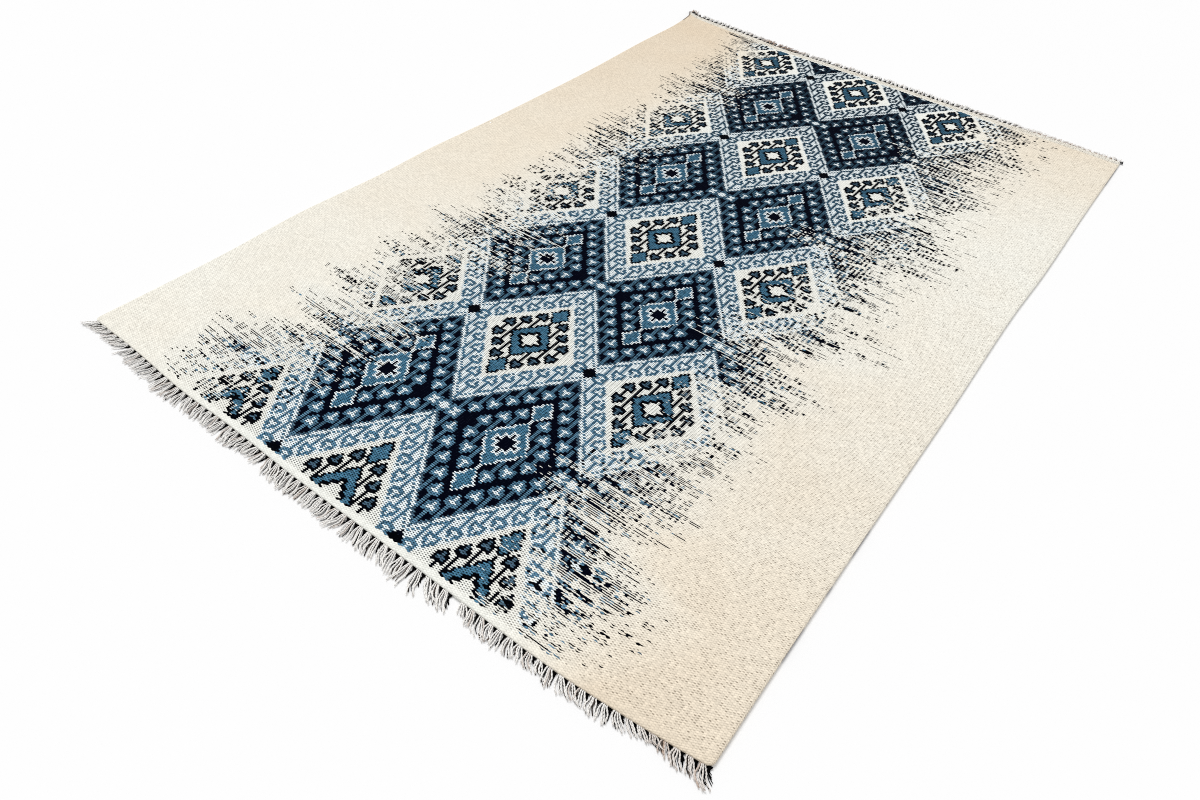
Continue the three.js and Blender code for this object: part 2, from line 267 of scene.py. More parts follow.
@dataclass(frozen=True)
class DiamondChart:
    """A quarter of one diamond of the lattice, charted on columns and rows of stitches.

    The other quarters mirror it. Light and dark diamonds share the chart and differ in yarn.
    """

    half_columns: int = 29
    half_rows: int = 44
    # A diamond's sides rise by this, and its borders start where they cross these rows of its middle
    rows_a_column: float = 1.25
    band_reach: float = 26.5
    line_reach: float = 38.2
    seam_reach: float = 39.2
    edge_reach: float = 40.125
    # From the middle outwards, one text a row: the star, its outline, the ring's fill and outline
    medallion: tuple[str, ...] = (
        ".....#ttt#",
        "...###tt#",
        "...#ttt#",
        ".###ttt#",
        ".#tttt#",
        "##ttt#",
        "tttt#",
        "ttt#",
        "ttt#",
        "tt#",
        "t#",
        "#",
        "#",
    )
    # A heart from its tip to its flat side, and the block that stands at the lattice's nodes
    heart: tuple[str, ...] = ("..#..", ".#o#.", "##o##", "#ooo#", "#####")
    block: tuple[str, ...] = ("#####", "#ooo#", "##o##", "#ooo#", "#####")
    # Rows of the node's star and of its rim, from the node's own column outwards
    star_rows: tuple[tuple[int, int], ...] = ((2, 4), (2, 3), (1, 2), (0, 1))
    # The small diamond: its row, and how many rows its outline and its fill reach from its middle
    small_diamond_row: int = 18
    small_diamond_reach: Pair = (5.6, 4.4)
    # Columns outwards and rows down from one heart to the next
    heart_step: tuple[int, int] = (4, 5)
    # Column and row of the first inner heart's foot, and row of the first border heart's tip
    inner_foot: tuple[int, int] = (5, 12)
    inner_hearts: int = 3
    border_tip: int = 28
    border_hearts: int = 6
    # Rows between which the border's last stem runs
    last_stem: tuple[int, int] = (3, 9)

    def quarter(self) -> Array:
        """Draws the quarter: a column of stitches for each step across, a row for each step up.

        Returns:
            Marks, indexed by columns from the middle and rows from the middle.
        """
        chart = np.full((self.half_columns + 1, self.half_rows + 1), Mark.FIELD)
        column, row = np.indices(chart.shape)
        reach = row + self.rows_a_column * column
        chart[reach > self.band_reach] = Mark.BAND
        chart[reach > self.line_reach] = Mark.EDGE
        chart[reach > self.seam_reach] = Mark.SEAM
        self._draw_border_hearts(chart)
        self._draw_inner_hearts(chart)
        self._draw_small_diamond(chart)
        marks = {".": Mark.FIELD, "#": Mark.OUTLINE, "t": Mark.FILL}
        for r, text in enumerate(self.medallion):
            chart[: len(text), r] = [marks[letter] for letter in text]
        self._draw_node(chart)
        return chart

    def _stamp(
        self, chart: Array, texts: tuple[str, ...], at: tuple[int, int], marks: dict[str, Mark]
    ) -> None:
        """Draws a motif, mirrored at the quarter's axes.

        Args:
            chart: The chart, which is changed.
            texts: The motif, one text a row.
            at: Column and row of the middle of the motif's first row.
            marks: What each letter stands for. Any other letter leaves the chart as it is.
        """
        for r, text in enumerate(texts):
            for c, letter in enumerate(text):
                column, row = abs(at[0] + c - len(text) // 2), abs(at[1] + r)
                if letter in marks and column <= self.half_columns:
                    chart[column, row] = marks[letter]

    def _draw_border_hearts(self, chart: Array) -> None:
        """Draws hearts in steps along the border, each on a stem that runs out to the border's line.

        Args:
            chart: The chart, which is changed.
        """
        marks = {"#": Mark.BORDER, "o": Mark.BORDER_HEART}
        across, down = self.heart_step
        for k in range(self.border_hearts):
            column, tip = across * k, self.border_tip - down * k
            stem_top = math.floor(self.line_reach - self.rows_a_column * column) + 1
            chart[column, tip + len(self.heart) : stem_top] = Mark.BORDER
            self._stamp(chart, self.heart, (column, tip), marks)
        last = across * self.border_hearts
        chart[last, slice(*self.last_stem)] = Mark.BORDER
        self._stamp(chart, self.block, (last, -(len(self.block) // 2)), marks)

    def _draw_inner_hearts(self, chart: Array) -> None:
        """Draws hearts in steps around the medallion, tips outwards, each on a stem that runs in to it.

        Args:
            chart: The chart, which is changed.
        """
        marks = {"#": Mark.HEAD, "o": Mark.HEAD_HEART}
        across, down = self.heart_step
        for k in range(self.inner_hearts):
            column, foot = self.inner_foot[0] + across * k, self.inner_foot[1] - down * k
            chart[column, :foot] = Mark.HEAD
            self._stamp(chart, self.heart[::-1], (column, foot), marks)

    def _draw_small_diamond(self, chart: Array) -> None:
        """Draws a small diamond that stands on the medallion's tip.

        Args:
            chart: The chart, which is changed.
        """
        column, row = np.indices(chart.shape)
        reach = np.abs(row - self.small_diamond_row) + self.rows_a_column * column
        outline, fill = self.small_diamond_reach
        chart[reach < outline] = Mark.OUTLINE
        chart[reach < fill] = Mark.FILL

    def _draw_node(self, chart: Array) -> None:
        """Draws the little star on the node that two diamonds of one kind share.

        Args:
            chart: The chart, which is changed.
        """
        edge = self.half_columns
        for back, (star, rim) in enumerate(self.star_rows):
            chart[edge - back, :rim] = Mark.NODE_RIM
            chart[edge - back, :star] = Mark.NODE

    def yarns(self, column: Array, row: Array) -> Array:
        """Gives the yarn of stitches anywhere on the cloth.

        Both distances fold back and forth at the half repeats. Where the folded point lies past
        the light diamond's edge, it is turned about the quarter's middle into the dark one.

        Args:
            column: Columns from the middle of a light diamond.
            row: Rows from the middle of the same diamond.

        Returns:
            Yarn numbers.
        """
        across = np.abs((column + self.half_columns) % (2 * self.half_columns) - self.half_columns)
        along = np.abs((row + self.half_rows) % (2 * self.half_rows) - self.half_rows)
        dark = along + self.rows_a_column * across > self.edge_reach
        across = np.where(dark, self.half_columns - across, across)
        along = np.where(dark, self.half_rows - along, along)
        mark = self.quarter()[across, along]
        table = np.array([YARN_OF_MARK[m] for m in Mark])
        return table[mark, dark.astype(int)]


@dataclass(frozen=True)
class Wear:
    """The fading of the pattern towards both sides, in broken dashes that run with the weft.

    "bare" is where a side's last dashes end and "whole" where the pattern is sound again, as
    shares of the width. Both follow the rug's length.
    """

    seed: int = 5
    left: Table = table_field(
        along=(
            0, 0.04, 0.075, 0.10, 0.12, 0.15, 0.17, 0.195, 0.22, 0.245, 0.27, 0.30, 0.34, 0.38, 0.41,
            0.45, 0.49, 0.54, 0.58, 0.62, 0.66, 0.70, 0.74, 0.78, 0.82, 0.86, 0.90, 0.94, 1,
        ),
        bare=(
            0.13, 0.10, 0.09, 0.13, 0.19, 0.12, 0.17, 0.12, 0.16, 0.14, 0.13, 0.15, 0.11, 0.17, 0.13,
            0.15, 0.14, 0.15, 0.13, 0.13, 0.14, 0.15, 0.15, 0.12, 0.13, 0.12, 0.14, 0.11, 0.08,
        ),
        whole=(
            0.36, 0.38, 0.37, 0.40, 0.41, 0.42, 0.43, 0.40, 0.37, 0.36, 0.365, 0.42, 0.41, 0.385, 0.38,
            0.365, 0.375, 0.37, 0.38, 0.37, 0.365, 0.31, 0.34, 0.37, 0.375, 0.34, 0.315, 0.29, 0.27,
        ),
    )
    right: Table = table_field(
        along=(
            0, 0.03, 0.06, 0.08, 0.10, 0.125, 0.15, 0.18, 0.21, 0.235, 0.26, 0.295, 0.325, 0.345, 0.38,
            0.42, 0.46, 0.495, 0.54, 0.58, 0.615, 0.66, 0.70, 0.735, 0.78, 0.82, 0.87, 0.90, 0.94, 1,
        ),
        bare=(
            0.86, 0.90, 0.93, 0.92, 0.85, 0.83, 0.87, 0.86, 0.86, 0.87, 0.86, 0.85, 0.88, 0.90, 0.84,
            0.92, 0.91, 0.90, 0.88, 0.92, 0.95, 0.92, 0.88, 0.90, 0.91, 0.90, 0.91, 0.91, 0.91, 0.92,
        ),
        whole=(
            0.67, 0.65, 0.63, 0.64, 0.64, 0.61, 0.61, 0.63, 0.64, 0.67, 0.66, 0.65, 0.66, 0.64, 0.60,
            0.62, 0.61, 0.63, 0.63, 0.54, 0.63, 0.64, 0.64, 0.62, 0.64, 0.60, 0.59, 0.67, 0.64, 0.68,
        ),
    )
    # The higher the power, the later the pattern comes back from a bare side
    left_power: float = 1.35
    right_power: float = 1.9
    # Shares of the length between which the near ladder ends and the far left one begins
    near_ladder: Pair = (0.12, 0.45)
    far_ladder: Pair = (0.84, 0.94)
    least_ladder: float = 0.25
    # Columns that a dash runs over, and picks over which the wear's bands and turns change
    dash: int = 4
    band_picks: float = 7.0
    turn_picks: float = 26.0
    # Columns and picks over which the streaks, the grain and the patches of columns in turn change
    streak: Pair = (12.0, 2.2)
    grain: Pair = (1.3, 2.0)
    patch: Pair = (26.0, 50.0)
    # How steeply a patch rises, and its greatest height
    patch_rise: float = 1.6
    patch_top: float = 1.2
    # Shares of the kinds of chance in the wear, first where it is plain and then where it is a ladder
    turn_share: Pair = (0.18, 0.62)
    streak_share: Pair = (0.48, 0.36)
    patch_share: Pair = (0.55, 0.40)
    grain_share: Pair = (0.42, 0.25)
    # Share of single picks, and how rare the strongest are: the fewer freedoms, the more of them
    pick_share: float = 0.28
    pick_freedoms: int = 3
    band_share: float = 0.20
    dash_share: float = 0.28
    # Shares of the blues that turn black, plain and in a ladder, and of the darks that turn grey
    blackening: Pair = (1.3, 1.0)
    greying: float = 0.14
    # Strength of the pattern below which its whites are ivory
    white_from: float = 0.5

    def strength(self, across: Array, along: Array) -> Array:
        """How much of the pattern is left.

        From a side's bare place to its whole one this rises as a quarter of a sine, to the side's power.

        Args:
            across: Shares of the width.
            along: Shares of the length.

        Returns:
            Numbers from 0 to 1.
        """
        fades = []
        for table, power in ((self.left, self.left_power), (self.right, self.right_power)):
            bare, whole = read_table(table, "bare", along), read_table(table, "whole", along)
            part = np.clip((across - bare) / (whole - bare), 0, 1)
            fades.append(np.sin(part * math.pi / 2) ** power)
        return np.minimum(*fades)

    def dashes(self, rng: np.random.Generator, columns: int, picks: int) -> Array:
        """Random numbers of spread 1, each a mean over the next few columns along its pick."""
        total = rng.standard_normal((columns + self.dash, picks)).cumsum(0)
        return (total[self.dash :] - total[: -self.dash]) / math.sqrt(self.dash)

    def laddered(self, across: Array, along: Array) -> Array:
        """How far the cloth wears to a ladder of single picks.

        Args:
            across: Shares of the width.
            along: Shares of the length.

        Returns:
            1 near the front and at the far left, and falling to the least elsewhere.
        """
        near = 1 - smooth_step(*self.near_ladder, along)
        far = (across < 0.5) * smooth_step(*self.far_ladder, along)
        return self.least_ladder + (1 - self.least_ladder) * np.maximum(near, far)

    def resistance(self, rng: np.random.Generator, across: Array, ladder: Array) -> Array:
        """Even random numbers from 0 to 1 for every column and pick, low where the pattern holds on.

        Where the cloth wears to a ladder, every second pick holds on longer. Elsewhere every second
        column does, in patches. Streaks along the weft, bands and single picks, a few of them by
        far the strongest or the weakest, short dashes and a fine grain add to both.

        Args:
            rng: Source of chance.
            across: Each stitch's share of the width, by column and row.
            ladder: How far each stitch's place wears to a ladder.

        Returns:
            The numbers, by column and pick. A row has two picks, and the last row one more.
        """
        columns, rows = across.shape
        counts = columns, 2 * rows + 1
        side = (across[:, 0] > 0.5).astype(int)
        column_turn = (1 - 2 * (np.arange(counts[0]) % 2))[:, None]
        pick_turn = 1 - 2 * (np.arange(counts[1]) % 2)
        turns = np.sign(soft_noise(rng, (2, counts[1]), (1.0, self.turn_picks))) * pick_turn
        streaks = soft_noise(rng, counts, self.streak)
        patches = soft_noise(rng, counts, self.patch) * self.patch_rise
        patches = column_turn * np.clip(patches, -self.patch_top, self.patch_top)
        grain = soft_noise(rng, counts, self.grain)
        ladder = ladder[:, np.maximum(np.arange(counts[1]) - 1, 0) // 2]
        shares = self.turn_share, self.streak_share, self.patch_share, self.grain_share
        parts = turns[side], streaks, patches, grain
        mixed = sum((plain + (rung - plain) * ladder) * part for (plain, rung), part in zip(shares, parts))
        mixed += self.pick_share * rng.standard_t(self.pick_freedoms, (2, counts[1]))[side]
        mixed += self.band_share * soft_noise(rng, (2, counts[1]), (1.0, self.band_picks))[side]
        return evened(mixed + self.dash_share * self.dashes(rng, *counts))

    def recolour(self, rng: np.random.Generator, yarns: Array, strength: Array, ladder: Array) -> Array:
        """Lets the blues turn black, the darks grey and the whites ivory where the cloth is worn.

        Args:
            rng: Source of chance.
            yarns: Yarn numbers, by column and row.
            strength: How much of the pattern is left at each.
            ladder: How far each place wears to a ladder.

        Returns:
            The new yarn numbers.
        """
        chance = evened(self.dashes(rng, *yarns.shape))
        blue = (yarns >= Yarn.BLUE) & (yarns <= Yarn.SLATE)
        blackening = self.blackening[0] + (self.blackening[1] - self.blackening[0]) * ladder
        black = blue & (chance < blackening * (1 - strength))
        grey = (yarns >= Yarn.NAVY) & (chance > 1 - self.greying * (1 - strength))
        pale = (yarns == Yarn.WHITE) & (strength < self.white_from)
        return np.select([black, grey, pale], [Yarn.BLACK, Yarn.SLATE, Yarn.IVORY], yarns)

    def apply(self, yarns: Array, across: Array, along: Array) -> Array:
        """Wears the pattern, pick by pick.

        A stitch has two picks. The lower pick of an even column's stitch and the upper pick of
        the next odd column's stitch in the same weft row are one and the same.

        Args:
            yarns: Yarn numbers of the sound cloth, by column and row.
            across: Each stitch's share of the width.
            along: Each stitch's share of the length.

        Returns:
            Yarn numbers, with ivory where both picks have gone. A stitch with its lower pick left
            has its yarn's number below 0, and one with its upper pick left has UPPER less than that.
        """
        rng = np.random.default_rng(self.seed)
        strength = self.strength(across, along)
        ladder = self.laddered(across, along)
        number = self.resistance(rng, across, ladder)
        yarns = self.recolour(rng, yarns, strength, ladder)
        odd = (np.arange(len(yarns)) % 2 == 1)[:, None]
        low = np.where(odd, number[:, 0:-1:2], number[:, 1::2]) > strength
        high = np.where(odd, number[:, 1::2], number[:, 2::2]) > strength
        bare = (low & high) | ((low | high) & (yarns <= Yarn.WHITE))
        return np.select([bare, low, high], [Yarn.IVORY, -yarns - UPPER, -yarns], yarns)


class Signal:
    """A number, vector or colour inside a material. Its operators add the nodes that they need."""

    def __init__(self, painter: "Painter", socket: bpy.types.NodeSocket) -> None:
        """Wraps one output socket."""
        self.painter = painter
        self.socket = socket

    def __add__(self, other: Any) -> "Signal":
        """Sum."""
        return self.painter.math("ADD", self, other)

    __radd__ = __add__

    def __sub__(self, other: Any) -> "Signal":
        """Difference."""
        return self.painter.math("SUBTRACT", self, other)

    def __rsub__(self, other: Any) -> "Signal":
        """Difference from a number."""
        return self.painter.math("SUBTRACT", other, self)

    def __mul__(self, other: Any) -> "Signal":
        """Product."""
        return self.painter.math("MULTIPLY", self, other)

    __rmul__ = __mul__

    def __truediv__(self, other: Any) -> "Signal":
        """Quotient."""
        return self.painter.math("DIVIDE", self, other)

    def __abs__(self) -> "Signal":
        """Size without sign."""
        return self.painter.math("ABSOLUTE", self)

    def __mod__(self, other: Any) -> "Signal":
        """Remainder, never negative."""
        return self.painter.math("FLOORED_MODULO", self, other)

    def __lt__(self, other: Any) -> "Signal":
        """1 where less, else 0."""
        return self.painter.math("LESS_THAN", self, other)

    def __gt__(self, other: Any) -> "Signal":
        """1 where more, else 0."""
        return self.painter.math("GREATER_THAN", self, other)

    def floor(self) -> "Signal":
        """The whole number below."""
        return self.painter.math("FLOOR", self)

    def wave(self) -> "Signal":
        """A straight-sided wave of period 1: -1 at whole numbers and 1 halfway between."""
        return self.painter.math("PINGPONG", self, 0.5) * 4 - 1

    def clamped(self) -> "Signal":
        """Kept from 0 to 1."""
        return self.painter.math("MAXIMUM", self.painter.math("MINIMUM", self, 1.0), 0.0)


class Painter:
    """Builds one material's node tree."""

    # Matt fibre has next to no gloss
    SPECULAR = 0.02

    def __init__(self, name: str) -> None:
        """Starts an empty material.

        Args:
            name: The material's name.
        """
        self.material = bpy.data.materials.new(name)
        self.material.use_nodes = True
        self.tree = self.material.node_tree
        self.tree.nodes.clear()

    def node(self, kind: str, settings: dict[str, Any], inputs: dict[Any, Any], output: Any = 0) -> Signal:
        """Adds a node.

        Args:
            kind: The node's type.
            settings: Its own settings, which are set first.
            inputs: Values or signals by the name or number of their sockets.
            output: The name or number of the output that is wanted.

        Returns:
            That output.
        """
        node = self.tree.nodes.new(kind)
        for name, value in settings.items():
            setattr(node, name, value)
        for name, value in inputs.items():
            if isinstance(value, Signal):
                self.tree.links.new(value.socket, node.inputs[name])
            else:
                node.inputs[name].default_value = value
        return Signal(self, node.outputs[output])

    def math(self, operation: str, *values: Any) -> Signal:
        """Adds a Math node."""
        return self.node("ShaderNodeMath", {"operation": operation}, dict(enumerate(values)))

    def mix(self, share: Any, first: Any, second: Any) -> Signal:
        """Goes from one number to another."""
        return self.node("ShaderNodeMix", {"data_type": "FLOAT"}, {0: share, 2: first, 3: second}, 0)

    def mix_vectors(self, share: Any, first: Any, second: Any) -> Signal:
        """Goes from one vector to another."""
        return self.node("ShaderNodeMix", {"data_type": "VECTOR"}, {0: share, 4: first, 5: second}, 1)

    def mix_colours(self, share: Any, first: Any, second: Any, blend: str = "MIX") -> Signal:
        """Goes from one colour to another, or blends the second over the first.

        Args:
            share: Share of the second.
            first: First colour.
            second: Second colour.
            blend: The Mix node's way of blending.

        Returns:
            The colour.
        """
        paints = [c if isinstance(c, Signal) else (*c, 1.0) for c in (first, second)]
        settings = {"data_type": "RGBA", "blend_type": blend}
        return self.node("ShaderNodeMix", settings, {0: share, 6: paints[0], 7: paints[1]}, 2)

    def grey(self, value: Signal) -> Signal:
        """A number as a colour that multiplies evenly."""
        return self.node("ShaderNodeCombineColor", {}, {0: value, 1: value, 2: value})

    def attribute(self, name: str, output: str = "Fac") -> Signal:
        """Reads one of the mesh's attributes."""
        return self.node("ShaderNodeAttribute", {"attribute_name": name}, {}, output)

    def split(self, vector: Signal) -> list[Signal]:
        """A vector's three numbers."""
        parts = self.node("ShaderNodeSeparateXYZ", {}, {0: vector}).socket.node
        return [Signal(self, socket) for socket in parts.outputs]

    def join(self, x: Any, y: Any, z: Any = 0.0) -> Signal:
        """A vector of three numbers."""
        return self.node("ShaderNodeCombineXYZ", {}, {0: x, 1: y, 2: z})

    def uv(self, name: str) -> Signal:
        """Reads a UV map."""
        return self.node("ShaderNodeUVMap", {"uv_map": name}, {})

    def place(self) -> Signal:
        """The point on the piece, in metres."""
        return self.node("ShaderNodeTexCoord", {}, {}, "Object")

    def noise(self, at: Signal, scale: float, detail: float = 2.0) -> Signal:
        """Soft noise from 0 to 1."""
        return self.node("ShaderNodeTexNoise", {}, {"Vector": at, "Scale": scale, "Detail": detail})

    def chance(self, at: Signal) -> Signal:
        """A random number from 0 to 1 for each whole point."""
        return self.node("ShaderNodeTexWhiteNoise", {"noise_dimensions": "3D"}, {0: at})

    def steps(self, value: Signal, colours: list[Srgb]) -> Signal:
        """Gives each whole number its own colour.

        Args:
            value: The numbers, from 0 up.
            colours: Their colours.

        Returns:
            The colour.
        """
        ramp = self.node("ShaderNodeValToRGB", {}, {0: (value + 0.5) / len(colours)}).socket.node
        ramp.color_ramp.interpolation = "CONSTANT"
        self._fill_ramp(ramp, [k / len(colours) for k in range(len(colours))], colours)
        return Signal(self, ramp.outputs[0])

    def ramp(self, value: Signal, places: list[float], colours: list[Srgb]) -> Signal:
        """Runs smoothly through colours.

        Args:
            value: Where to read, from 0 to 1.
            places: Where each colour stands, from 0 to 1.
            colours: The colours.

        Returns:
            The colour.
        """
        ramp = self.node("ShaderNodeValToRGB", {}, {0: value}).socket.node
        self._fill_ramp(ramp, places, colours)
        return Signal(self, ramp.outputs[0])

    def _fill_ramp(self, ramp: Any, places: list[float], colours: list[Srgb]) -> None:
        """Puts stops on a colour ramp.

        Args:
            ramp: The ramp's node.
            places: Where each stop stands, from 0 to 1.
            colours: Their colours.
        """
        stops = ramp.color_ramp.elements
        while len(stops) < len(colours):
            stops.new(1.0)
        for stop, place, colour in zip(stops, places, colours):
            stop.position = place
            stop.color = (*linear(colour), 1.0)

    def finish(
        self,
        colour: Signal,
        roughness: Signal | float,
        height: Signal | None = None,
        relief: float = 0.0,
        sheen: float = 0.0,
    ) -> None:
        """Closes the tree with one soft surface, which has next to no gloss.

        Args:
            colour: Base colour.
            roughness: Roughness.
            height: Height of the relief from 0 to 1, or None.
            relief: How high the relief is, in metres.
            sheen: Weight of the fibres' sheen.
        """
        inputs = {"Base Color": colour, "Roughness": roughness, "Sheen Weight": sheen}
        inputs["Specular IOR Level"] = self.SPECULAR
        if height is not None:
            bump = {"Strength": 1.0, "Distance": relief, "Height": height}
            inputs["Normal"] = self.node("ShaderNodeBump", {}, bump)
        surface = self.node("ShaderNodeBsdfPrincipled", {}, inputs)
        output = self.tree.nodes.new("ShaderNodeOutputMaterial")
        self.tree.links.new(surface.socket, output.inputs["Surface"])


class Draw(IntEnum):
    """Keeps the random numbers of the cloth's finish apart."""

    STITCH = 3
    PICK = 5
    GAP = 7


@dataclass(frozen=True)
class StitchPlace:
    """Where a point of the cloth lies among the stitches."""

    # Its column, and its height up that column in stitches
    column: Signal
    height: Signal
    # How far it is from the middle of its stitch, in stitches
    across: Signal
    along: Signal


@dataclass(frozen=True)
class WovenFinish:
    """The dressed cloth: stitches laid like bricks in columns, each of two picks of soft yarn."""

    # How far neighbouring columns reach into each other, in columns
    interlock: float = 0.27
    # How far dark yarn spreads over its pale neighbour, in columns, and how much further at the far end
    spread: float = 0.11
    far_spread: float = 0.08
    # How fast a stitch's bulge falls from its crown, and its share and the fibre's of the relief
    crown_fall: float = 2.2
    crown_relief: float = 0.8
    fibre_relief: float = 0.35
    relief: float = 0.0009
    fibre_size: float = 1 / 900
    roughness: float = 0.86
    fibre_roughness: float = 0.1
    # How much the crowns, single stitches and the margins' tweed lighten or darken the cloth, and the
    # tweed's noise cells to a column and to a weft row. The crowns' part is painted shade: lighter on
    # each stitch's bulge, darker where it falls towards its neighbours
    painted_crown_shade: float = 0.08
    stitch_light: float = 0.14
    tweed_light: float = 0.6
    tweed_cells: Pair = (0.8, 1.3)
    # The dye: paler streaks in the blues, deeper blues at the far end, and each pick's own shade
    streak_cells: Pair = (0.3, 0.6)
    streak_from: float = 0.48
    streak_rise: float = 3.0
    streak_share: float = 0.6
    deepening: float = 0.9
    teal_spared: float = 0.45
    pick_shade: float = 0.12
    blue_pick_shade: float = 0.75
    # The ivory's tone: size of its soft clouds in metres, and how far they shift it
    cloud_size: float = 1 / 6
    cloud_shift: float = 0.3
    # The gap between a stitch and the next: its half axes in stitches, size and edge
    dot_width: float = 0.44
    dot_height: float = 0.27
    dot_size: float = 1.16
    far_dot_loss: float = 0.2
    dot_edge: float = 2.5
    # How dark the gaps are in the pattern, and how much less so in its ivory, near and far
    dot_share: float = 0.75
    ivory_dot_loss: float = 0.08
    far_ivory_dot_loss: float = 0.6
    dot_colour: Srgb = (10, 24, 36)
    speck_colour: Srgb = (22, 28, 44)
    # Brown of the gaps where no dark weft runs under them, in the margins and the webs: painted shade
    painted_gap_shade: Srgb = (104, 88, 68)
    # Ivory from white to warm, and where along the tone each stands
    tones: tuple[Srgb, ...] = (
        (243, 244, 237), (244, 241, 230), (239, 229, 211), (229, 212, 188),
    )
    tone_stops: tuple[float, ...] = (0.0, 0.25, 0.6, 1.0)
    light_blue: Srgb = (122, 164, 184)
    deep_blue: Srgb = (10, 18, 30)
    # Colour of the painted shade on the rims, which also tints the far web a little
    rim_shade_colour: Srgb = (62, 46, 50)

    def material(self) -> bpy.types.Material:
        """Builds the material.

        The UV map "stitches" counts columns and weft rows. Neighbouring columns interlock: their
        boundary swings as a straight-sided wave, half a period apart from one to the next. Each face
        knows three stitches one above the other, in its own column and in both neighbours.

        Returns:
            The material.
        """
        p = Painter("woven_cloth")
        u, w, _ = p.split(p.uv("stitches"))
        column = u.floor()
        shift = (column % 2) * 0.5
        from_left = u - column
        on_left = from_left < 0.5
        left, own, right = (p.attribute(f"yarns_{which}", "Vector") for which in ("left", "here", "right"))
        here = self._yarn(p, own, w, shift)
        there = self._yarn(p, p.mix_vectors(on_left, right, left), w, 0.5 - shift)
        swing = (w + shift).wave() * -self.interlock
        spread = self.spread + p.attribute("deep") * self.far_spread
        bias = (self._heavy(there) - self._heavy(here)) * spread
        crossed = (0.5 - abs(from_left - 0.5)) < (swing + bias)
        yarn = p.mix(crossed, here, there)
        column = column + crossed * (1 - on_left * 2)
        height = w + p.mix(crossed, shift, 0.5 - shift)
        at = StitchPlace(column, height, u - column - 0.5, height - height.floor() - 0.5)
        colour = self._dots(p, self._yarn_colour(p, yarn, at), yarn, at)
        crown = 1 - at.across * at.across * self.crown_fall - at.along * at.along * self.crown_fall
        luck = p.chance(p.join(column, height.floor(), Draw.STITCH))
        tweed = p.noise(p.join(u * self.tweed_cells[0], w * self.tweed_cells[1]), 1.0, 3.0) - 0.5
        # Painted shade: each stitch lighter on its crown and darker towards its edges; the luck and the tweed
        # are the yarn's own tone
        light = (1.0 + self.painted_crown_shade * crown) * (1 - self.stitch_light / 2 + luck * self.stitch_light)
        light = light * (1 + tweed * p.attribute("pebble") * self.tweed_light)
        colour = p.mix_colours(1.0, colour, p.grey(light), "MULTIPLY")
        # Painted shade on stretches of the rims, and a light tint over the far web
        colour = p.mix_colours(p.attribute("rim_shade_and_web_tint"), colour, linear(self.rim_shade_colour))
        fibre = p.noise(p.place(), 1 / self.fibre_size, 3.0)
        relief = crown * self.crown_relief + fibre * self.fibre_relief
        p.finish(colour, self.roughness + fibre * self.fibre_roughness, relief, self.relief)
        return p.material

    def _heavy(self, yarn: Signal) -> Signal:
        """1 for the yarns that spread over what lies beside them, 0 for the whites and the navy ground."""
        return (yarn > Yarn.WHITE + 0.5) - (abs(yarn - Yarn.NAVY) < 0.5)

    def _yarn(self, p: Painter, stack: Signal, w: Signal, shift: Signal) -> Signal:
        """The yarn of a column at a height.

        Args:
            p: The material's painter.
            stack: Three stitches of the column, one above the other.
            w: Weft rows from the near edge.
            shift: How far the column's stitches lie below the weft rows.

        Returns:
            The number of the yarn of the stitch at that height, and ivory where its pick is bare.
        """
        low, middle, high = p.split(stack)
        level = (w % 2 + shift).floor()
        value = p.mix(level > 0.5, low, middle)
        value = p.mix(level > 1.5, value, high)
        upper_half = ((w + shift) % 1) > 0.5
        upper_left = abs(value) > UPPER + 0.5
        bare = (value < -0.5) * abs(upper_left - upper_half)
        return (abs(value) - upper_left * UPPER) * (1 - bare)

    def _yarn_colour(self, p: Painter, yarn: Signal, at: StitchPlace) -> Signal:
        """The dyed yarns with their uneven dye, and the ivory with its tone across the rug.

        Args:
            p: The material's painter.
            yarn: Number of the yarn.
            at: Where the point lies.

        Returns:
            The yarn's colour there.
        """
        pick = (at.height * 2).floor()
        dyed = p.steps(yarn, [YARN_COLOURS[y] for y in Yarn])
        cells = p.join(at.column * self.streak_cells[0], pick * self.streak_cells[1], Draw.STITCH)
        streak = ((p.noise(cells, 1.0) - self.streak_from) * self.streak_rise).clamped()
        blue = (yarn > Yarn.WHITE + 0.5) * (yarn < Yarn.SLATE + 0.5)
        dyed = p.mix_colours(blue * streak * self.streak_share, dyed, linear(self.light_blue))
        teal = abs(yarn - Yarn.TEAL) < 0.5
        deep = blue * p.attribute("deep") * (self.deepening - self.teal_spared * teal)
        dyed = p.mix_colours(deep, dyed, linear(self.deep_blue))
        shade = p.chance(p.join(at.column, pick, Draw.PICK)) - 0.5
        shade = 1 + shade * (self.pick_shade + blue * self.blue_pick_shade)
        dyed = p.mix_colours(1.0, dyed, p.grey(shade), "MULTIPLY")
        cloud = p.noise(p.place(), 1 / self.cloud_size, 4.0) - 0.5
        tone = p.attribute("tone") + cloud * self.cloud_shift
        plain = p.ramp(tone.clamped(), list(self.tone_stops), list(self.tones))
        return p.mix_colours(yarn < Yarn.IVORY + 0.5, dyed, plain)

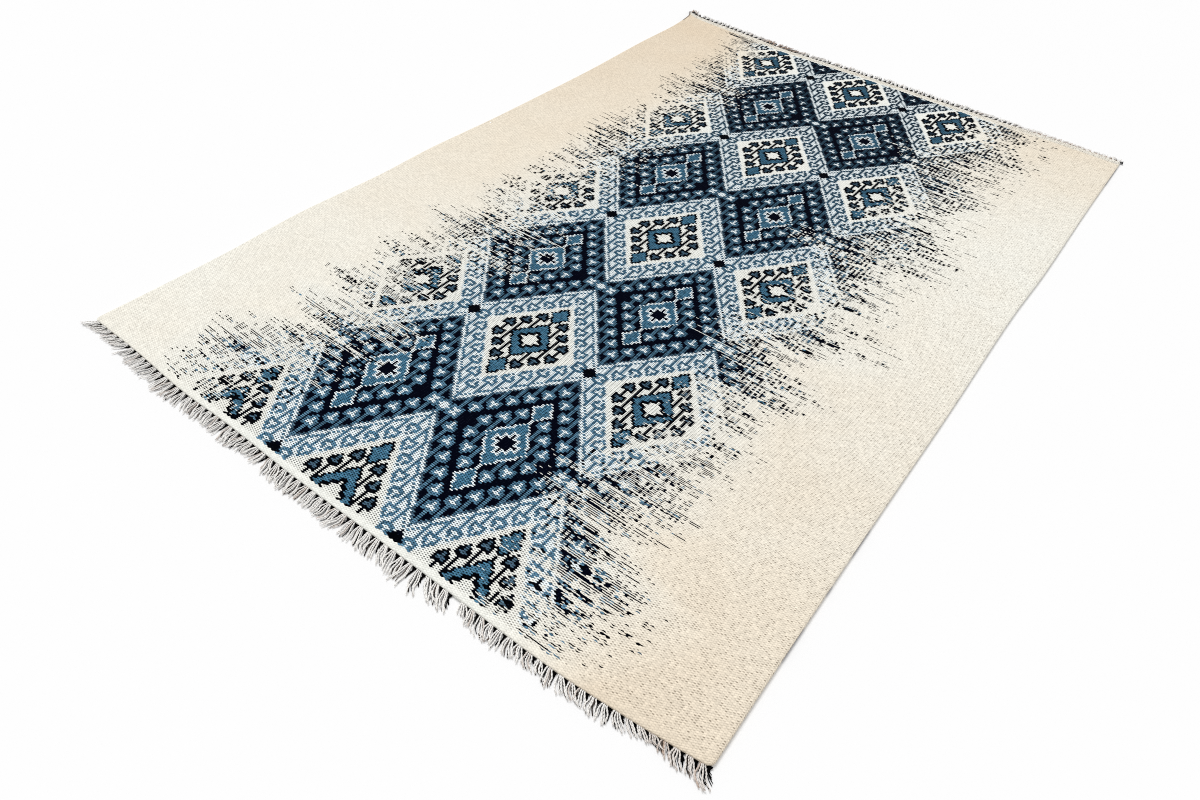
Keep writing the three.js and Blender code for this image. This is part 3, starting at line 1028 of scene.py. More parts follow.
    def _dots(self, p: Painter, colour: Signal, yarn: Signal, at: StitchPlace) -> Signal:
        """Darkens the small gap between each stitch and the next one up its column.

        A gap is an ellipse about the middle of the line between two stitches. In the pattern the dark weft
        shows through it; in the margins and the webs its brown is painted shade.

        Args:
            p: The material's painter.
            colour: The yarn's colour.
            yarn: Number of the yarn.
            at: Where the point lies.

        Returns:
            The colour with its gaps.
        """
        x = at.across / self.dot_width
        y = (0.5 - abs(at.along)) / self.dot_height
        deep = p.attribute("deep")
        dot = ((self.dot_size - deep * self.far_dot_loss - (x * x + y * y)) * self.dot_edge).clamped()
        luck = p.chance(p.join(at.column, (at.height + 0.5).floor(), Draw.GAP))
        patterned = p.attribute("patterned")
        dark = yarn > Yarn.SLATE + 0.5
        ivory = yarn < Yarn.IVORY + 0.5
        in_pattern = self.dot_share + luck * (1 - self.dot_share)
        in_pattern = in_pattern - ivory * (deep * self.far_ivory_dot_loss + self.ivory_dot_loss)
        # Painted shade in the gaps of the margins and the webs, as strong as the pebble there
        strength = p.mix(patterned * (1 - dark), p.attribute("pebble") * luck * luck, in_pattern)
        gap = p.mix_colours(patterned, linear(self.painted_gap_shade), linear(self.dot_colour))
        gap = p.mix_colours(dark, gap, linear(self.speck_colour))
        return p.mix_colours(dot * strength, colour, gap)


@dataclass
class WovenBody:
    """The woven sheet, one quad for each column and pair of weft rows, with a rounded rim."""

    width: float = 1.520
    length: float = 2.350
    thickness: float = 0.006
    rim: float = 0.0018
    rim_steps: int = 2
    columns: int = 273
    weft_rows: int = 566
    rows_a_chart_row: float = 1.5
    # Middle of the light diamond from which the lattice is counted
    lattice_column: int = 129
    lattice_row: float = 3.85
    # The plain webs
    near_web_rows: int = 3
    far_web_rows: int = 6
    # Share of the width over which the columns follow a side's curve, and how fast that dies away
    side_give: float = 0.25
    side_fall: float = 1.5
    # How far the middle leans to the right over the length, and the share of it that stays put
    lean: float = 0.006
    lean_about: float = 0.35
    swell: float = 0.00025
    underside_strips: int = 12
    # Near left, near right, far right and far left
    corner_radius: tuple[float, ...] = (0.007, 0.009, 0.005, 0.003)
    # Millimetres from one half repeat of the lattice to the next, from the near end on
    half_repeats: tuple[float, ...] = (294, 267, 260.5, 267, 282, 287, 272, 287)
    chart: DiamondChart = DiamondChart()
    wear: Wear = field(default_factory=Wear)
    # How warm the ivory is on either side, and how deep the blues are
    tone: Table = table_field(
        along=(0, 0.15, 0.3, 0.5, 0.75, 1),
        left=(0.25, 0.3, 0.4, 0.6, 0.8, 1.0),
        right=(0.85, 0.6, 0.48, 0.32, 0.25, 0.72),
        deep=(0.0, 0.1, 0.3, 0.42, 0.75, 1.0),
    )
    # The gaps between stitches are as dark as the strength that the wear leaves, to this power
    pattern_power: float = 0.8
    # Strength of the margins' pebbly gaps, whose brown is painted shade, and of their tweed, at the left
    # and the right, the near web's share of it, and the far web's own
    pebble: Pair = (0.30, 0.68)
    web_pebble: float = 0.3
    far_web_pebble: float = 1.6
    far_web_tone: float = 0.35
    # Shares of the length between which painted shade darkens the right rim, and from which it darkens the
    # left one
    right_rim_shades: tuple[Pair, ...] = (
        (0.085, 0.12), (0.155, 0.165), (0.20, 0.235), (0.93, 0.985),
    )
    left_rim_shade_from: float = 0.962
    # How dark the left rim's painted shade is, and how far the far web is tinted towards the same colour
    left_rim_shade: float = 0.9
    far_web_tint: float = 0.1
    # Parts of the baked map: its border in columns and rows, the top's height and the underside's strip
    bake_border: Pair = (3.0, 4.0)
    bake_top: float = 0.93
    bake_strip: Pair = (0.94, 0.055)

    def row_table(self) -> Table:
        """How far up the rug's middle line each weft row lies, from the heights of the half repeats.

        Returns:
            A table with weft rows along it and millimetres as its "place".
        """
        half = self.chart.half_rows * self.rows_a_chart_row
        nodes = [self.lattice_row + half * k for k in range(len(self.half_repeats) + 1)]
        before = self.lattice_row * (self.half_repeats[0] / half)
        after = (self.weft_rows - nodes[-1]) * (self.half_repeats[-1] / half)
        places = np.cumsum([before, *self.half_repeats, after])
        return {"along": (0.0, *nodes, float(self.weft_rows)), "place": (0.0, *places)}

    def spread(self, u: Array, v: Array) -> tuple[Array, Array]:
        """Where stitch coordinates lie on the cloth, in metres from the middle of the near end.

        Rows run between the curves of the two ends, and columns stay straight in the middle and
        follow the sides' curves only near them. The corners are rounded as a square is into a disc.

        Args:
            u: Columns from the left edge.
            v: Weft rows from the near edge.

        Returns:
            x and y.
        """
        across = u / self.columns
        table = self.row_table()
        along = read_table(table, "place", v) / table["place"][-1]
        near = -read_table(NEAR_EDGE, "out", across) * MM
        far = self.length + read_table(FAR_EDGE, "out", across) * MM
        left = read_table(LEFT_EDGE, "out", along) * MM
        right = read_table(RIGHT_EDGE, "out", along) * MM
        at_left = np.clip(1 - across / self.side_give, 0, 1) ** self.side_fall
        at_right = np.clip(1 - (1 - across) / self.side_give, 0, 1) ** self.side_fall
        lean = self.lean * (along - self.lean_about) * (1 - at_left) * (1 - at_right)
        x = (across - 0.5) * self.width - left * at_left + right * at_right + lean
        y = near + (far - near) * along
        x += self.rim * (1 - 2 * across)
        y += self.rim * (1 - 2 * along)
        for radius, way_x, way_y in zip(self.corner_radius, (1, -1, -1, 1), (1, 1, -1, -1)):
            from_x = across if way_x > 0 else 1 - across
            from_y = along if way_y > 0 else 1 - along
            a = np.clip(1 - from_x * self.width / radius, 0, 1)
            b = np.clip(1 - from_y * self.length / radius, 0, 1)
            x += way_x * radius * a * (1 - np.sqrt(1 - b * b / 2))
            y += way_y * radius * b * (1 - np.sqrt(1 - a * a / 2))
        return x, y

    def stitch_yarns(self) -> Array:
        """The yarn of every stitch, worn as on the rug.

        A stitch of an even column stands between two weft rows, and one of an odd column half a
        row lower. Its chart row is the one that its middle lies in.

        Returns:
            Yarn numbers, by column and row, marked as Wear.apply does.
        """
        column = np.arange(self.columns)[:, None]
        row = np.arange(self.weft_rows + 1)[None, :]
        middle = row + 0.5 - 0.5 * (column % 2)
        chart_row = np.floor((middle - self.lattice_row) / self.rows_a_chart_row + 0.5).astype(int)
        yarns = self.chart.yarns(column - self.lattice_column + 0 * row, chart_row)
        table = self.row_table()
        along = read_table(table, "place", middle) / table["place"][-1]
        across = (column + 0.5) / self.columns + 0 * along
        web = (middle < self.near_web_rows) | (middle > self.weft_rows - self.far_web_rows)
        worn = self.wear.apply(yarns, across, along)
        return np.where(web, Yarn.IVORY, worn)

    def build(self) -> bpy.types.Object:
        """Builds the sheet: its top on a grid, its rim as a profile carried round, its underside flat.

        The top swells in two long slanting waves, sines of 9 x + 4 y and of 5 y - 7 x.

        Returns:
            The piece.
        """
        columns, rows = self.columns, self.weft_rows // 2
        u, v = np.meshgrid(np.arange(columns + 1.0), 2 * np.arange(rows + 1.0), indexing="ij")
        x, y = self.spread(u, v)
        z = self.thickness + self.swell * (np.sin(9 * x + 4 * y) + np.sin(5 * y - 7 * x) - 1)
        number = np.arange(x.size).reshape(x.shape)
        loop = np.concatenate([number[:-1, 0], number[-1, :-1], number[:0:-1, -1], number[0, :0:-1]])
        points = np.stack([x, y, z], -1).reshape(-1, 3)
        maps = np.stack([u, v], -1).reshape(-1, 2)
        ring_points, ring_maps = self._rings(points[loop], maps[loop])
        ring_numbers = len(points) + np.arange(ring_maps[..., 0].size).reshape(-1, len(loop))
        rings = np.concatenate([loop[None], ring_numbers])
        after = np.roll(rings, -1, 1)
        top = np.stack([number[:-1, :-1], number[1:, :-1], number[1:, 1:], number[:-1, 1:]], -1)
        rim = np.stack([rings[:-1], rings[1:], after[1:], after[:-1]], -1)
        under, under_maps = self._underside(rings[-1], maps[loop], columns, rows)
        points = np.concatenate([points, ring_points.reshape(-1, 3)])
        maps = np.concatenate([maps, ring_maps.reshape(-1, 2)])
        quads = np.concatenate([top.reshape(-1, 4), rim.reshape(-1, 4)])
        faces = [*quads.tolist(), *under]
        mesh = smooth_mesh("rug_cloth", points + self.origin(), faces)
        stitches = np.concatenate([maps[quads.ravel()], under_maps])
        add_map(mesh, "stitches", stitches)
        add_map(mesh, "OFBake", self._bake_places(stitches, quads.size))
        self._add_yarns(mesh, columns, rows, len(faces))
        self._add_tones(mesh, maps)
        return add_object("rug_cloth", mesh)

    def origin(self) -> Array:
        """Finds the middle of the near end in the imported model's frame, from its cloth's lowest corner.

        Returns:
            The point on the floor.
        """
        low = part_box("woven_body")[0]
        u = np.concatenate([np.arange(self.columns + 1.0), np.zeros(self.weft_rows + 1)])
        v = np.concatenate([np.zeros(self.columns + 1), np.arange(self.weft_rows + 1.0)])
        x, y = self.spread(u, v)
        return np.array([low.x - x.min() + self.rim, low.y - y.min() + self.rim, 0.0])

    def _rings(self, edge: Array, maps: Array) -> tuple[Array, Array]:
        """The rim: a half-round profile from the top's edge to the underside, carried along the outline.

        The profile is a quarter circle at the top and one at the bottom, with a straight wall between.

        Args:
            edge: Points of the top's outline, anticlockwise.
            maps: Their stitch coordinates.

        Returns:
            Points and stitch coordinates of each ring.
        """
        run = np.roll(edge, -1, 0) - np.roll(edge, 1, 0)
        outward = np.stack([run[:, 1], -run[:, 0]], -1)
        outward /= np.linalg.norm(outward, axis=1, keepdims=True)
        turn = np.linspace(0, math.pi / 2, self.rim_steps + 1)[1:]
        under = np.concatenate([[0], turn])
        out = self.rim * np.concatenate([np.sin(turn), np.cos(under)])
        lower = self.thickness - self.rim * (1 - np.sin(under))
        drop = np.concatenate([self.rim * (1 - np.cos(turn)), lower])
        length = np.cumsum(np.hypot(np.diff(out, prepend=0), np.diff(drop, prepend=0)))
        points = np.empty((len(out), len(edge), 3))
        points[..., :2] = edge[None, :, :2] + out[:, None, None] * outward[None]
        points[..., 2] = edge[None, :, 2] * (1 - drop[:, None] / self.thickness)
        pitch = np.array([self.width / self.columns, self.length / self.weft_rows])
        ring_maps = maps[None] + length[:, None, None] * outward[None] / pitch
        return points, ring_maps

    def _underside(
        self, ring: Array, maps: Array, columns: int, rows: int
    ) -> tuple[list[list[int]], Array]:
        """The flat underside, in wide strips that share the last ring's points.

        Args:
            ring: Numbers of the last ring's points, anticlockwise from the near left corner.
            maps: Stitch coordinates of the top's outline.
            columns: Faces across the top.
            rows: Faces along the top.

        Returns:
            The numbers of each strip's points, and the stitch coordinates of all their corners.
        """
        right = np.arange(columns, columns + rows + 1)
        left = np.concatenate([[0], np.arange(len(ring) - 1, 2 * columns + rows - 1, -1)])
        cuts = np.linspace(0, rows, self.underside_strips + 1).astype(int)
        faces, places = [], []
        for first, last in zip(cuts[:-1], cuts[1:]):
            near = np.array([left[first], right[first]])
            far = np.array([right[last], left[last]])
            if first == 0:
                near = np.arange(0, columns + 1)
            if last == rows:
                far = np.arange(columns + rows, 2 * columns + rows + 1)
            outline = np.concatenate([near, right[first + 1 : last], far, left[last - 1 : first : -1]])
            outline = outline[::-1] % len(ring)
            faces.append(ring[outline].tolist())
            places.append(maps[outline])
        return faces, np.concatenate(places)

    def _bake_places(self, stitches: Array, top_corners: int) -> Array:
        """Lays the piece out flat: top and rim in the lower part, the underside in a strip above.

        Args:
            stitches: Stitch coordinates of all corners, those of the underside last.
            top_corners: How many of them belong to the top and the rim.

        Returns:
            Places from 0 to 1.
        """
        border = np.array(self.bake_border)
        size = np.array([self.columns, self.weft_rows]) + 2 * border
        flat = (stitches + border) / size
        start, height = self.bake_strip
        flat[:top_corners, 1] *= self.bake_top
        flat[top_corners:, 1] = start + height * flat[top_corners:, 1]
        return flat

    def _add_yarns(self, mesh: bpy.types.Mesh, columns: int, rows: int, faces: int) -> None:
        """Gives each face three stitches one above the other, in its own column and both neighbours.

        Args:
            mesh: The cloth.
            columns: Faces across the top.
            rows: Faces along the top.
            faces: All faces. Those past the top's are plain ivory.
        """
        padded = np.pad(self.stitch_yarns(), ((1, 1), (0, 0)), mode="edge")
        low = 2 * np.arange(rows)
        for offset, name in enumerate(("yarns_left", "yarns_here", "yarns_right")):
            column = padded[offset : offset + columns]
            stack = np.stack([column[:, low], column[:, low + 1], column[:, low + 2]], -1)
            values = np.zeros((faces, 3))
            values[: columns * rows] = stack.reshape(-1, 3)
            add_values(mesh, name, "FACE", values)

    def _add_tones(self, mesh: bpy.types.Mesh, maps: Array) -> None:
        """Marks how warm the ivory is, how much pattern is left, the painted shade on the sides' rims and the
        far web's tint.

        Args:
            mesh: The cloth.
            maps: Stitch coordinates of its points.
        """
        across = maps[:, 0] / self.columns
        along = maps[:, 1] / self.weft_rows
        left, right, deep = (read_table(self.tone, name, along) for name in ("left", "right", "deep"))
        share = smooth_step(0.0, 1.0, across)
        far_web = maps[:, 1] > self.weft_rows - self.far_web_rows
        in_web = (maps[:, 1] < self.near_web_rows) | far_web
        strength = self.wear.strength(across, along)
        # Painted shade on the rims, and the far web's tint in the same colour
        rim_shade_and_web_tint = np.zeros(len(maps))
        for start, end in self.right_rim_shades:
            rim_shade_and_web_tint[(along > start) & (along < end) & (maps[:, 0] > self.columns + 0.5)] = 1.0
        rim_shade_and_web_tint[(along > self.left_rim_shade_from) & (maps[:, 0] < 0.5)] = self.left_rim_shade
        rim_shade_and_web_tint[far_web] = np.maximum(rim_shade_and_web_tint[far_web], self.far_web_tint)
        pebble = self.pebble[0] + (self.pebble[1] - self.pebble[0]) * share
        warm = (left + (right - left) * share) * (1 - strength ** (0.5 + deep))
        values = {
            "tone": np.where(far_web, self.far_web_tone, warm),
            "patterned": np.where(in_web, 0.0, strength**self.pattern_power),
            "pebble": np.where(far_web, self.far_web_pebble, pebble * np.where(in_web, self.web_pebble, 1.0)),
            "rim_shade_and_web_tint": rim_shade_and_web_tint,
            "deep": deep,
        }
        for name, value in values.items():
            add_values(mesh, name, "POINT", value)


@dataclass(frozen=True)
class YarnFinish:
    """Loose cotton yarn: pale, with brownish and dark strands underneath, the dark ones painted shade."""

    # From pale to dark, at even places; the dark end serves the strands of painted shade
    shades: tuple[Srgb, ...] = ((255, 253, 249), (196, 174, 158), (4, 3, 4))
    mottle: float = 0.12
    mottle_size: float = 1 / 260
    fibre_size: float = 1 / 2600
    roughness: float = 0.85
    fibre_roughness: float = 0.12
    relief: float = 0.0001
    sheen: float = 0.02

    def material(self) -> bpy.types.Material:
        """Builds the material. The attribute "shade" runs from pale to dark.

        Returns:
            The material.
        """
        p = Painter("fringe_yarn")
        place = p.place()
        mottle = (p.noise(place, 1 / self.mottle_size, 3.0) - 0.5) * self.mottle
        shade = (p.attribute("shade") + mottle).clamped()
        colour = p.ramp(shade, [0.0, 0.5, 1.0], list(self.shades))
        fibre = p.noise(place, 1 / self.fibre_size)
        roughness = self.roughness + fibre * self.fibre_roughness
        p.finish(colour, roughness, fibre, self.relief, self.sheen)
        return p.material


class End(IntEnum):
    """The rug's short ends, each by the way along Y in which its fringe points."""

    NEAR = -1
    FAR = 1


@dataclass
class Strands:
    """What shapes many strands, one entry a strand, in metres and radians."""

    # Middle of the strand's bundle, and how far from it the strand starts and has spread
    x: Array
    root: Array
    fan: Array
    # Lean towards +X, length, and height of its middle at the root and on the floor
    lean: Array
    length: Array
    high: Array
    low: Array
    # Size and phase of its sideways bow, its radius and its tint
    bow: Array
    turn: Array
    radius: Array
    shade: Array


@dataclass
class Fringe:
    """Warp ends along one short end, twisted in cords and gathered in bundles, over dark strands that are
    painted shade.
    """

    name: str
    end: End
    edge: Table
    lie: Table
    seed: int
    stations: int
    # Shares of the width between which bundles are missing
    gaps: tuple[Pair, ...] = ()
    bundles: int = 75
    cords: int = 4
    # Share of the width that is left free at each corner
    inset: float = 0.002
    # Chance in how a bundle lies: lean in degrees, shared with neighbours and its own, and length
    clump_cells: float = 1.6
    clump_lean: float = 6
    own_lean: float = 5
    own_length: float = 0.003
    root_spreads: Pair = (0.8, 1.15)
    bows: Pair = (0.0006, 0.0030)
    bow_half_turns: float = 2.6
    # How far inside the cloth's end a strand starts, its first share of the lean, and where it is down
    root_depth: float = 0.003
    sweep_at_root: float = 0.45
    down_by: float = 0.45
    # Shares of a strand's length between which its bundle fans out
    fans: Pair = (-0.1, 0.6)
    root_spread: float = 0.0080
    # A cord is two plies that circle its path, flatter than wide, and that splay at its tip
    ply_radius: float = 0.00100
    ply_offset: float = 0.00055
    twist_pitch: float = 0.0100
    flatness: float = 0.55
    sides: int = 4
    tip_splay: float = 0.9
    tip_from: float = 0.8
    # Chance in a single cord: thickness, lean in degrees, length, heights, bow, turn and tint
    thicknesses: Pair = (0.82, 1.08)
    cord_lean: float = 6
    lengths: Pair = (0.80, 1.10)
    root_heights: Pair = (0.0028, 0.0036)
    lifts: Pair = (0.0004, 0.0014)
    cord_bows: Pair = (0.5, 1.3)
    cord_turn: float = 0.7
    tints: Pair = (-0.05, 0.03)
    # Shares of a bundle's width by which a cord strays and to which the fan opens, and extra splay
    cord_stray: float = 0.05
    fan_share: float = 0.98
    cord_splay: float = 0.12
    # How much thinner a cord is at its root and at its tip, and where along it each taper ends or starts
    root_taper: float = 0.25
    tip_taper: float = 0.45
    taper_at: Pair = (0.2, 0.85)
    # How much darker the brownish cords are, how many of them there are, and how much darker the tips are
    brown: float = 0.25
    brown_share: float = 0.08
    tip_darkening: float = 0.08
    # The dark strands, painted shade between the bundles: reach of a wedge's strands, its width in bundles,
    # how far it narrows, its height
    wedge: Pair = (0.48, 0.72)
    wedge_width: float = 0.58
    wedge_strands: int = 7
    wedge_narrowing: float = 0.15
    wedge_slope: float = 0.9
    dark_height: float = 0.0030
    dark_radius: float = 0.00095
    dark_stations: int = 6
    dark_lean: float = 3
    dark_taper: float = 0.4
    # Reach, thickness and paleness of the dark strands, painted shade in the gaps between a bundle's cords
    gap_reaches: Pair = (0.7, 1.0)
    gap_thicknesses: Pair = (0.6, 1.8)
    gap_paleness: float = 0.25
    # Cells across the baked map, one a tube, and the free share round the tube's square in its cell
    cells_across: int = 40
    cell_border: float = 0.05
    # Parts of a tube's square: how far its walls stay from either end, and the size of each end
    wall_border: float = 0.1
    cap_size: Pair = (0.25, 0.06)
    tint: Table = table_field(along=(0, 0.85, 0.93, 0.95, 0.97, 1), tint=(0, 0, 0.12, 0.3, 0.15, 0.2))
    # How dark the strands of painted shade are along the end
    darkness: Table = table_field(along=(0, 1), dark=(1.1, 1.1))

    def plan(self, body: WovenBody, rng: np.random.Generator) -> dict[str, Array]:
        """Where each bundle stands and how it lies.

        Args:
            body: The cloth.
            rng: Source of chance.

        Returns:
            Named columns, with one entry a bundle.
        """
        count = self.bundles
        along = self.inset + (1 - 2 * self.inset) * (np.arange(count) + 0.5) / count
        last_row = 0.0 if self.end is End.NEAR else body.weft_rows
        x = body.spread(along * body.columns, np.full(count, last_row))[0]
        clump = soft_noise(rng, (count, 1), (self.clump_cells, 1.0))[:, 0]
        lean = read_table(self.lie, "lean", along) + self.clump_lean * clump
        lean = lean + rng.uniform(-self.own_lean, self.own_lean, count)
        length = read_table(self.lie, "length", along) * MM
        length = length + rng.uniform(-self.own_length, self.own_length, count)
        kept = np.ones(count, bool)
        for start, end in self.gaps:
            kept &= (along < start) | (along > end)
        columns = {
            "x": x,
            "lean": np.radians(lean),
            "length": length,
            "spread": rng.uniform(*self.root_spreads, count),
            "pitch": np.full_like(x, body.width * (1 - 2 * self.inset) / count),
            "tint": read_table(self.tint, "tint", along),
            "dark": read_table(self.darkness, "dark", along),
            "bow": rng.uniform(*self.bows, count),
            "turn": rng.uniform(0, 2 * math.pi, count),
        }
        return {key: value[kept] for key, value in columns.items()}

    def edge_y(self, body: WovenBody, x: Array) -> Array:
        """The cloth's end at places across the rug."""
        out = read_table(self.edge, "out", x / body.width + 0.5) * MM
        return (0.0 if self.end is End.NEAR else body.length) + self.end * out

    def path(self, body: WovenBody, strands: Strands, stations: int) -> Array:
        """Paths of strands from just inside the cloth's end to their tips.

        A strand leaves its root and fans out, sweeps over faster and faster with its length, and
        drops from its root's height to the floor. A small bow swings it as a sine.

        Args:
            body: The cloth.
            strands: The strands.
            stations: Points on a path.

        Returns:
            Points, by strand and station.
        """
        s = np.linspace(0, 1, stations)[None, :]
        x, root, fan, lean, length, high, low, bow, turn = (
            value[:, None]
            for value in (
                strands.x, strands.root, strands.fan, strands.lean, strands.length,
                strands.high, strands.low, strands.bow, strands.turn,
            )
        )
        fanned = smooth_step(*self.fans, s)
        sweep = s * (self.sweep_at_root + (1 - self.sweep_at_root) * s)
        px = x + root * (1 - fanned) + fan * fanned + length * np.sin(lean) * sweep
        px = px + bow * np.sin(self.bow_half_turns * math.pi * s + turn) * s
        py = self.edge_y(body, x + root) + self.end * (length * np.cos(lean) * s - self.root_depth * (1 - s))
        fall = smooth_step(0.0, self.down_by, s)
        pz = high * (1 - fall) + low * fall
        return np.stack([px, py, pz], -1)

    def tubes(self, path: Array, radius: Array, offset: float, plies: int, turns: Array) -> Array:
        """Carries a small polygon along each path, for one strand or for several twisted together.

        The side direction is level and square to the path, and the other one completes the frame.
        Each ply's middle circles the path as the angle grows with the length.

        Args:
            path: Points, by strand and station.
            radius: Radius of a ply, by strand and station.
            offset: How far a ply's middle lies from the path.
            plies: Number of plies.
            turns: Turns of the twist from root to tip, by strand.

        Returns:
            Points by tube, station and side.
        """
        run = np.gradient(path, axis=1)
        run /= np.linalg.norm(run, axis=-1, keepdims=True)
        side = np.cross(run, (0, 0, 1.0))
        side /= np.linalg.norm(side, axis=-1, keepdims=True)
        up = np.cross(side, run)
        s = np.linspace(0, 1, path.shape[1])
        splay = offset * (1 + self.tip_splay * smooth_step(self.tip_from, 1.0, s))[:, None]
        turned = turns[:, None, None] * s + np.arange(plies)[None, :, None] / plies
        angle = 2 * math.pi * turned[..., None]
        middle = path[:, None] + splay * (np.cos(angle) * side[:, None] + np.sin(angle) * up[:, None])
        around = 2 * math.pi * np.arange(self.sides)[:, None] / self.sides
        ring = np.cos(around) * side[:, None, :, None] + self.flatness * np.sin(around) * up[:, None, :, None]
        points = middle[:, :, :, None] + ring * radius[:, None, :, None, None]
        return points.reshape(-1, path.shape[1], self.sides, 3)

    def skin(self, tubes: int, stations: int) -> tuple[Array, Array]:
        """Quads round every tube and across its ends.

        Args:
            tubes: Number of tubes.
            stations: Points along each.

        Returns:
            The quads, and the places of their corners in a tube's own unit square, whose middle the
            walls fill and in two of whose corners the ends lie.
        """
        number = np.arange(tubes * stations * self.sides).reshape(tubes, stations, self.sides)
        after = np.roll(number, -1, 2)
        walls = np.stack([number[:, :-1], number[:, 1:], after[:, 1:], after[:, :-1]], -1)
        caps = np.stack([number[:, 0], number[:, -1, ::-1]], 1)
        s, k = np.meshgrid(np.arange(stations - 1), np.arange(self.sides), indexing="ij")
        across = np.stack([k, k, k + 1, k + 1], -1) / self.sides
        height = 1 - 2 * self.wall_border
        along = self.wall_border + height * np.stack([s, s + 1, s + 1, s], -1) / (stations - 1)
        wall_map = np.broadcast_to(np.stack([across, along], -1), (tubes, *across.shape, 2))
        square = np.array([(0, 0), (1, 0), (1, 1), (0, 1)]) * self.cap_size
        squares = np.stack([square, square + (0, 1 - self.cap_size[1])])
        cap_map = np.broadcast_to(squares, (tubes, 2, 4, 2))
        faces = np.concatenate([walls.reshape(tubes, -1, 4), caps.reshape(tubes, -1, 4)], 1)
        places = np.concatenate([wall_map.reshape(tubes, -1, 2), cap_map.reshape(tubes, -1, 2)], 1)
        return faces, places

    def build(self, body: WovenBody) -> bpy.types.Object:
        """Builds the fringe: pale two-ply cords over single dark strands that are painted shade.

        Args:
            body: The cloth.

        Returns:
            The piece.
        """
        rng = np.random.default_rng(self.seed)
        plan = self.plan(body, rng)
        sets = [self._cords(body, plan, rng), self._shade_strands(body, plan, rng)]
        total = sum(len(found) for found, _ in sets)
        faces, places, start, tubes = [], [], 0, 0
        for found, _ in sets:
            quads, square = self.skin(*found.shape[:2])
            faces.append(quads.reshape(-1, 4) + start)
            places.append(self._cells(square, tubes, total))
            start += found[..., 0].size
            tubes += len(found)
        points = np.concatenate([found.reshape(-1, 3) for found, _ in sets])
        points[:, 2] = np.maximum(points[:, 2], 0.0)
        mesh = smooth_mesh(self.name, points + body.origin(), np.concatenate(faces).tolist())
        add_values(mesh, "shade", "POINT", np.concatenate([shade.ravel() for _, shade in sets]))
        add_map(mesh, "OFBake", np.concatenate(places))
        return add_object(self.name, mesh)

    def _cells(self, square: Array, first: int, total: int) -> Array:
        """Lays the unit squares of tubes on a grid of cells that fills the map.

        Args:
            square: Places in the unit squares, by tube.
            first: Number of the first tube.
            total: Number of all tubes.

        Returns:
            Places in the map.
        """
        number = first + np.arange(len(square))
        down = math.ceil(total / self.cells_across)
        cell = np.stack([number % self.cells_across, number // self.cells_across], -1)[:, None]
        inside = self.cell_border + (1 - 2 * self.cell_border) * square
        return ((cell + inside) / (self.cells_across, down)).reshape(-1, 2)

    def _cords(
        self, body: WovenBody, plan: dict[str, Array], rng: np.random.Generator
    ) -> tuple[Array, Array]:
        """The pale cords: a few to a bundle, close at the root and fanned to meet their neighbours.

        Args:
            body: The cloth.
            plan: Where the bundles stand and how they lie.
            rng: Source of chance.

        Returns:
            Points, and a shade for each, by tube, station and side.
        """
        count = len(plan["x"]) * self.cords
        each = {key: np.repeat(value, self.cords) for key, value in plan.items()}
        side = np.tile((np.arange(self.cords) - (self.cords - 1) / 2) / self.cords, len(plan["x"]))
        side = side + rng.uniform(-self.cord_stray, self.cord_stray, count)
        thick = rng.uniform(*self.thicknesses, count) * self.ply_radius
        lean = np.radians(rng.uniform(-self.cord_lean, self.cord_lean, count)) + side * self.cord_splay
        strands = Strands(
            x=each["x"],
            root=side * self.root_spread * each["spread"],
            fan=side * each["pitch"] * self.fan_share,
            lean=each["lean"] + lean,
            length=each["length"] * rng.uniform(*self.lengths, count),
            high=rng.uniform(*self.root_heights, count),
            low=thick + self.ply_offset + rng.uniform(*self.lifts, count),
            bow=each["bow"] * rng.uniform(*self.cord_bows, count),
            turn=each["turn"] + rng.uniform(-self.cord_turn, self.cord_turn, count),
            radius=thick,
            shade=each["tint"] + rng.uniform(*self.tints, count),
        )
        strands.shade = strands.shade + self.brown * (rng.random(count) < self.brown_share)
        path = self.path(body, strands, self.stations)
        s = np.linspace(0, 1, self.stations)
        taper = 1 - self.root_taper + self.root_taper * smooth_step(0, self.taper_at[0], s)
        taper = taper * (1 - self.tip_taper * smooth_step(self.taper_at[1], 1.0, s))
        radius = strands.radius[:, None] * taper
        points = self.tubes(path, radius, self.ply_offset, 2, strands.length / self.twist_pitch)
        shade = np.repeat(strands.shade, 2)[:, None] + self.tip_darkening * smooth_step(self.tip_from, 1.0, s)
        return points, np.repeat(shade[..., None], self.sides, -1)

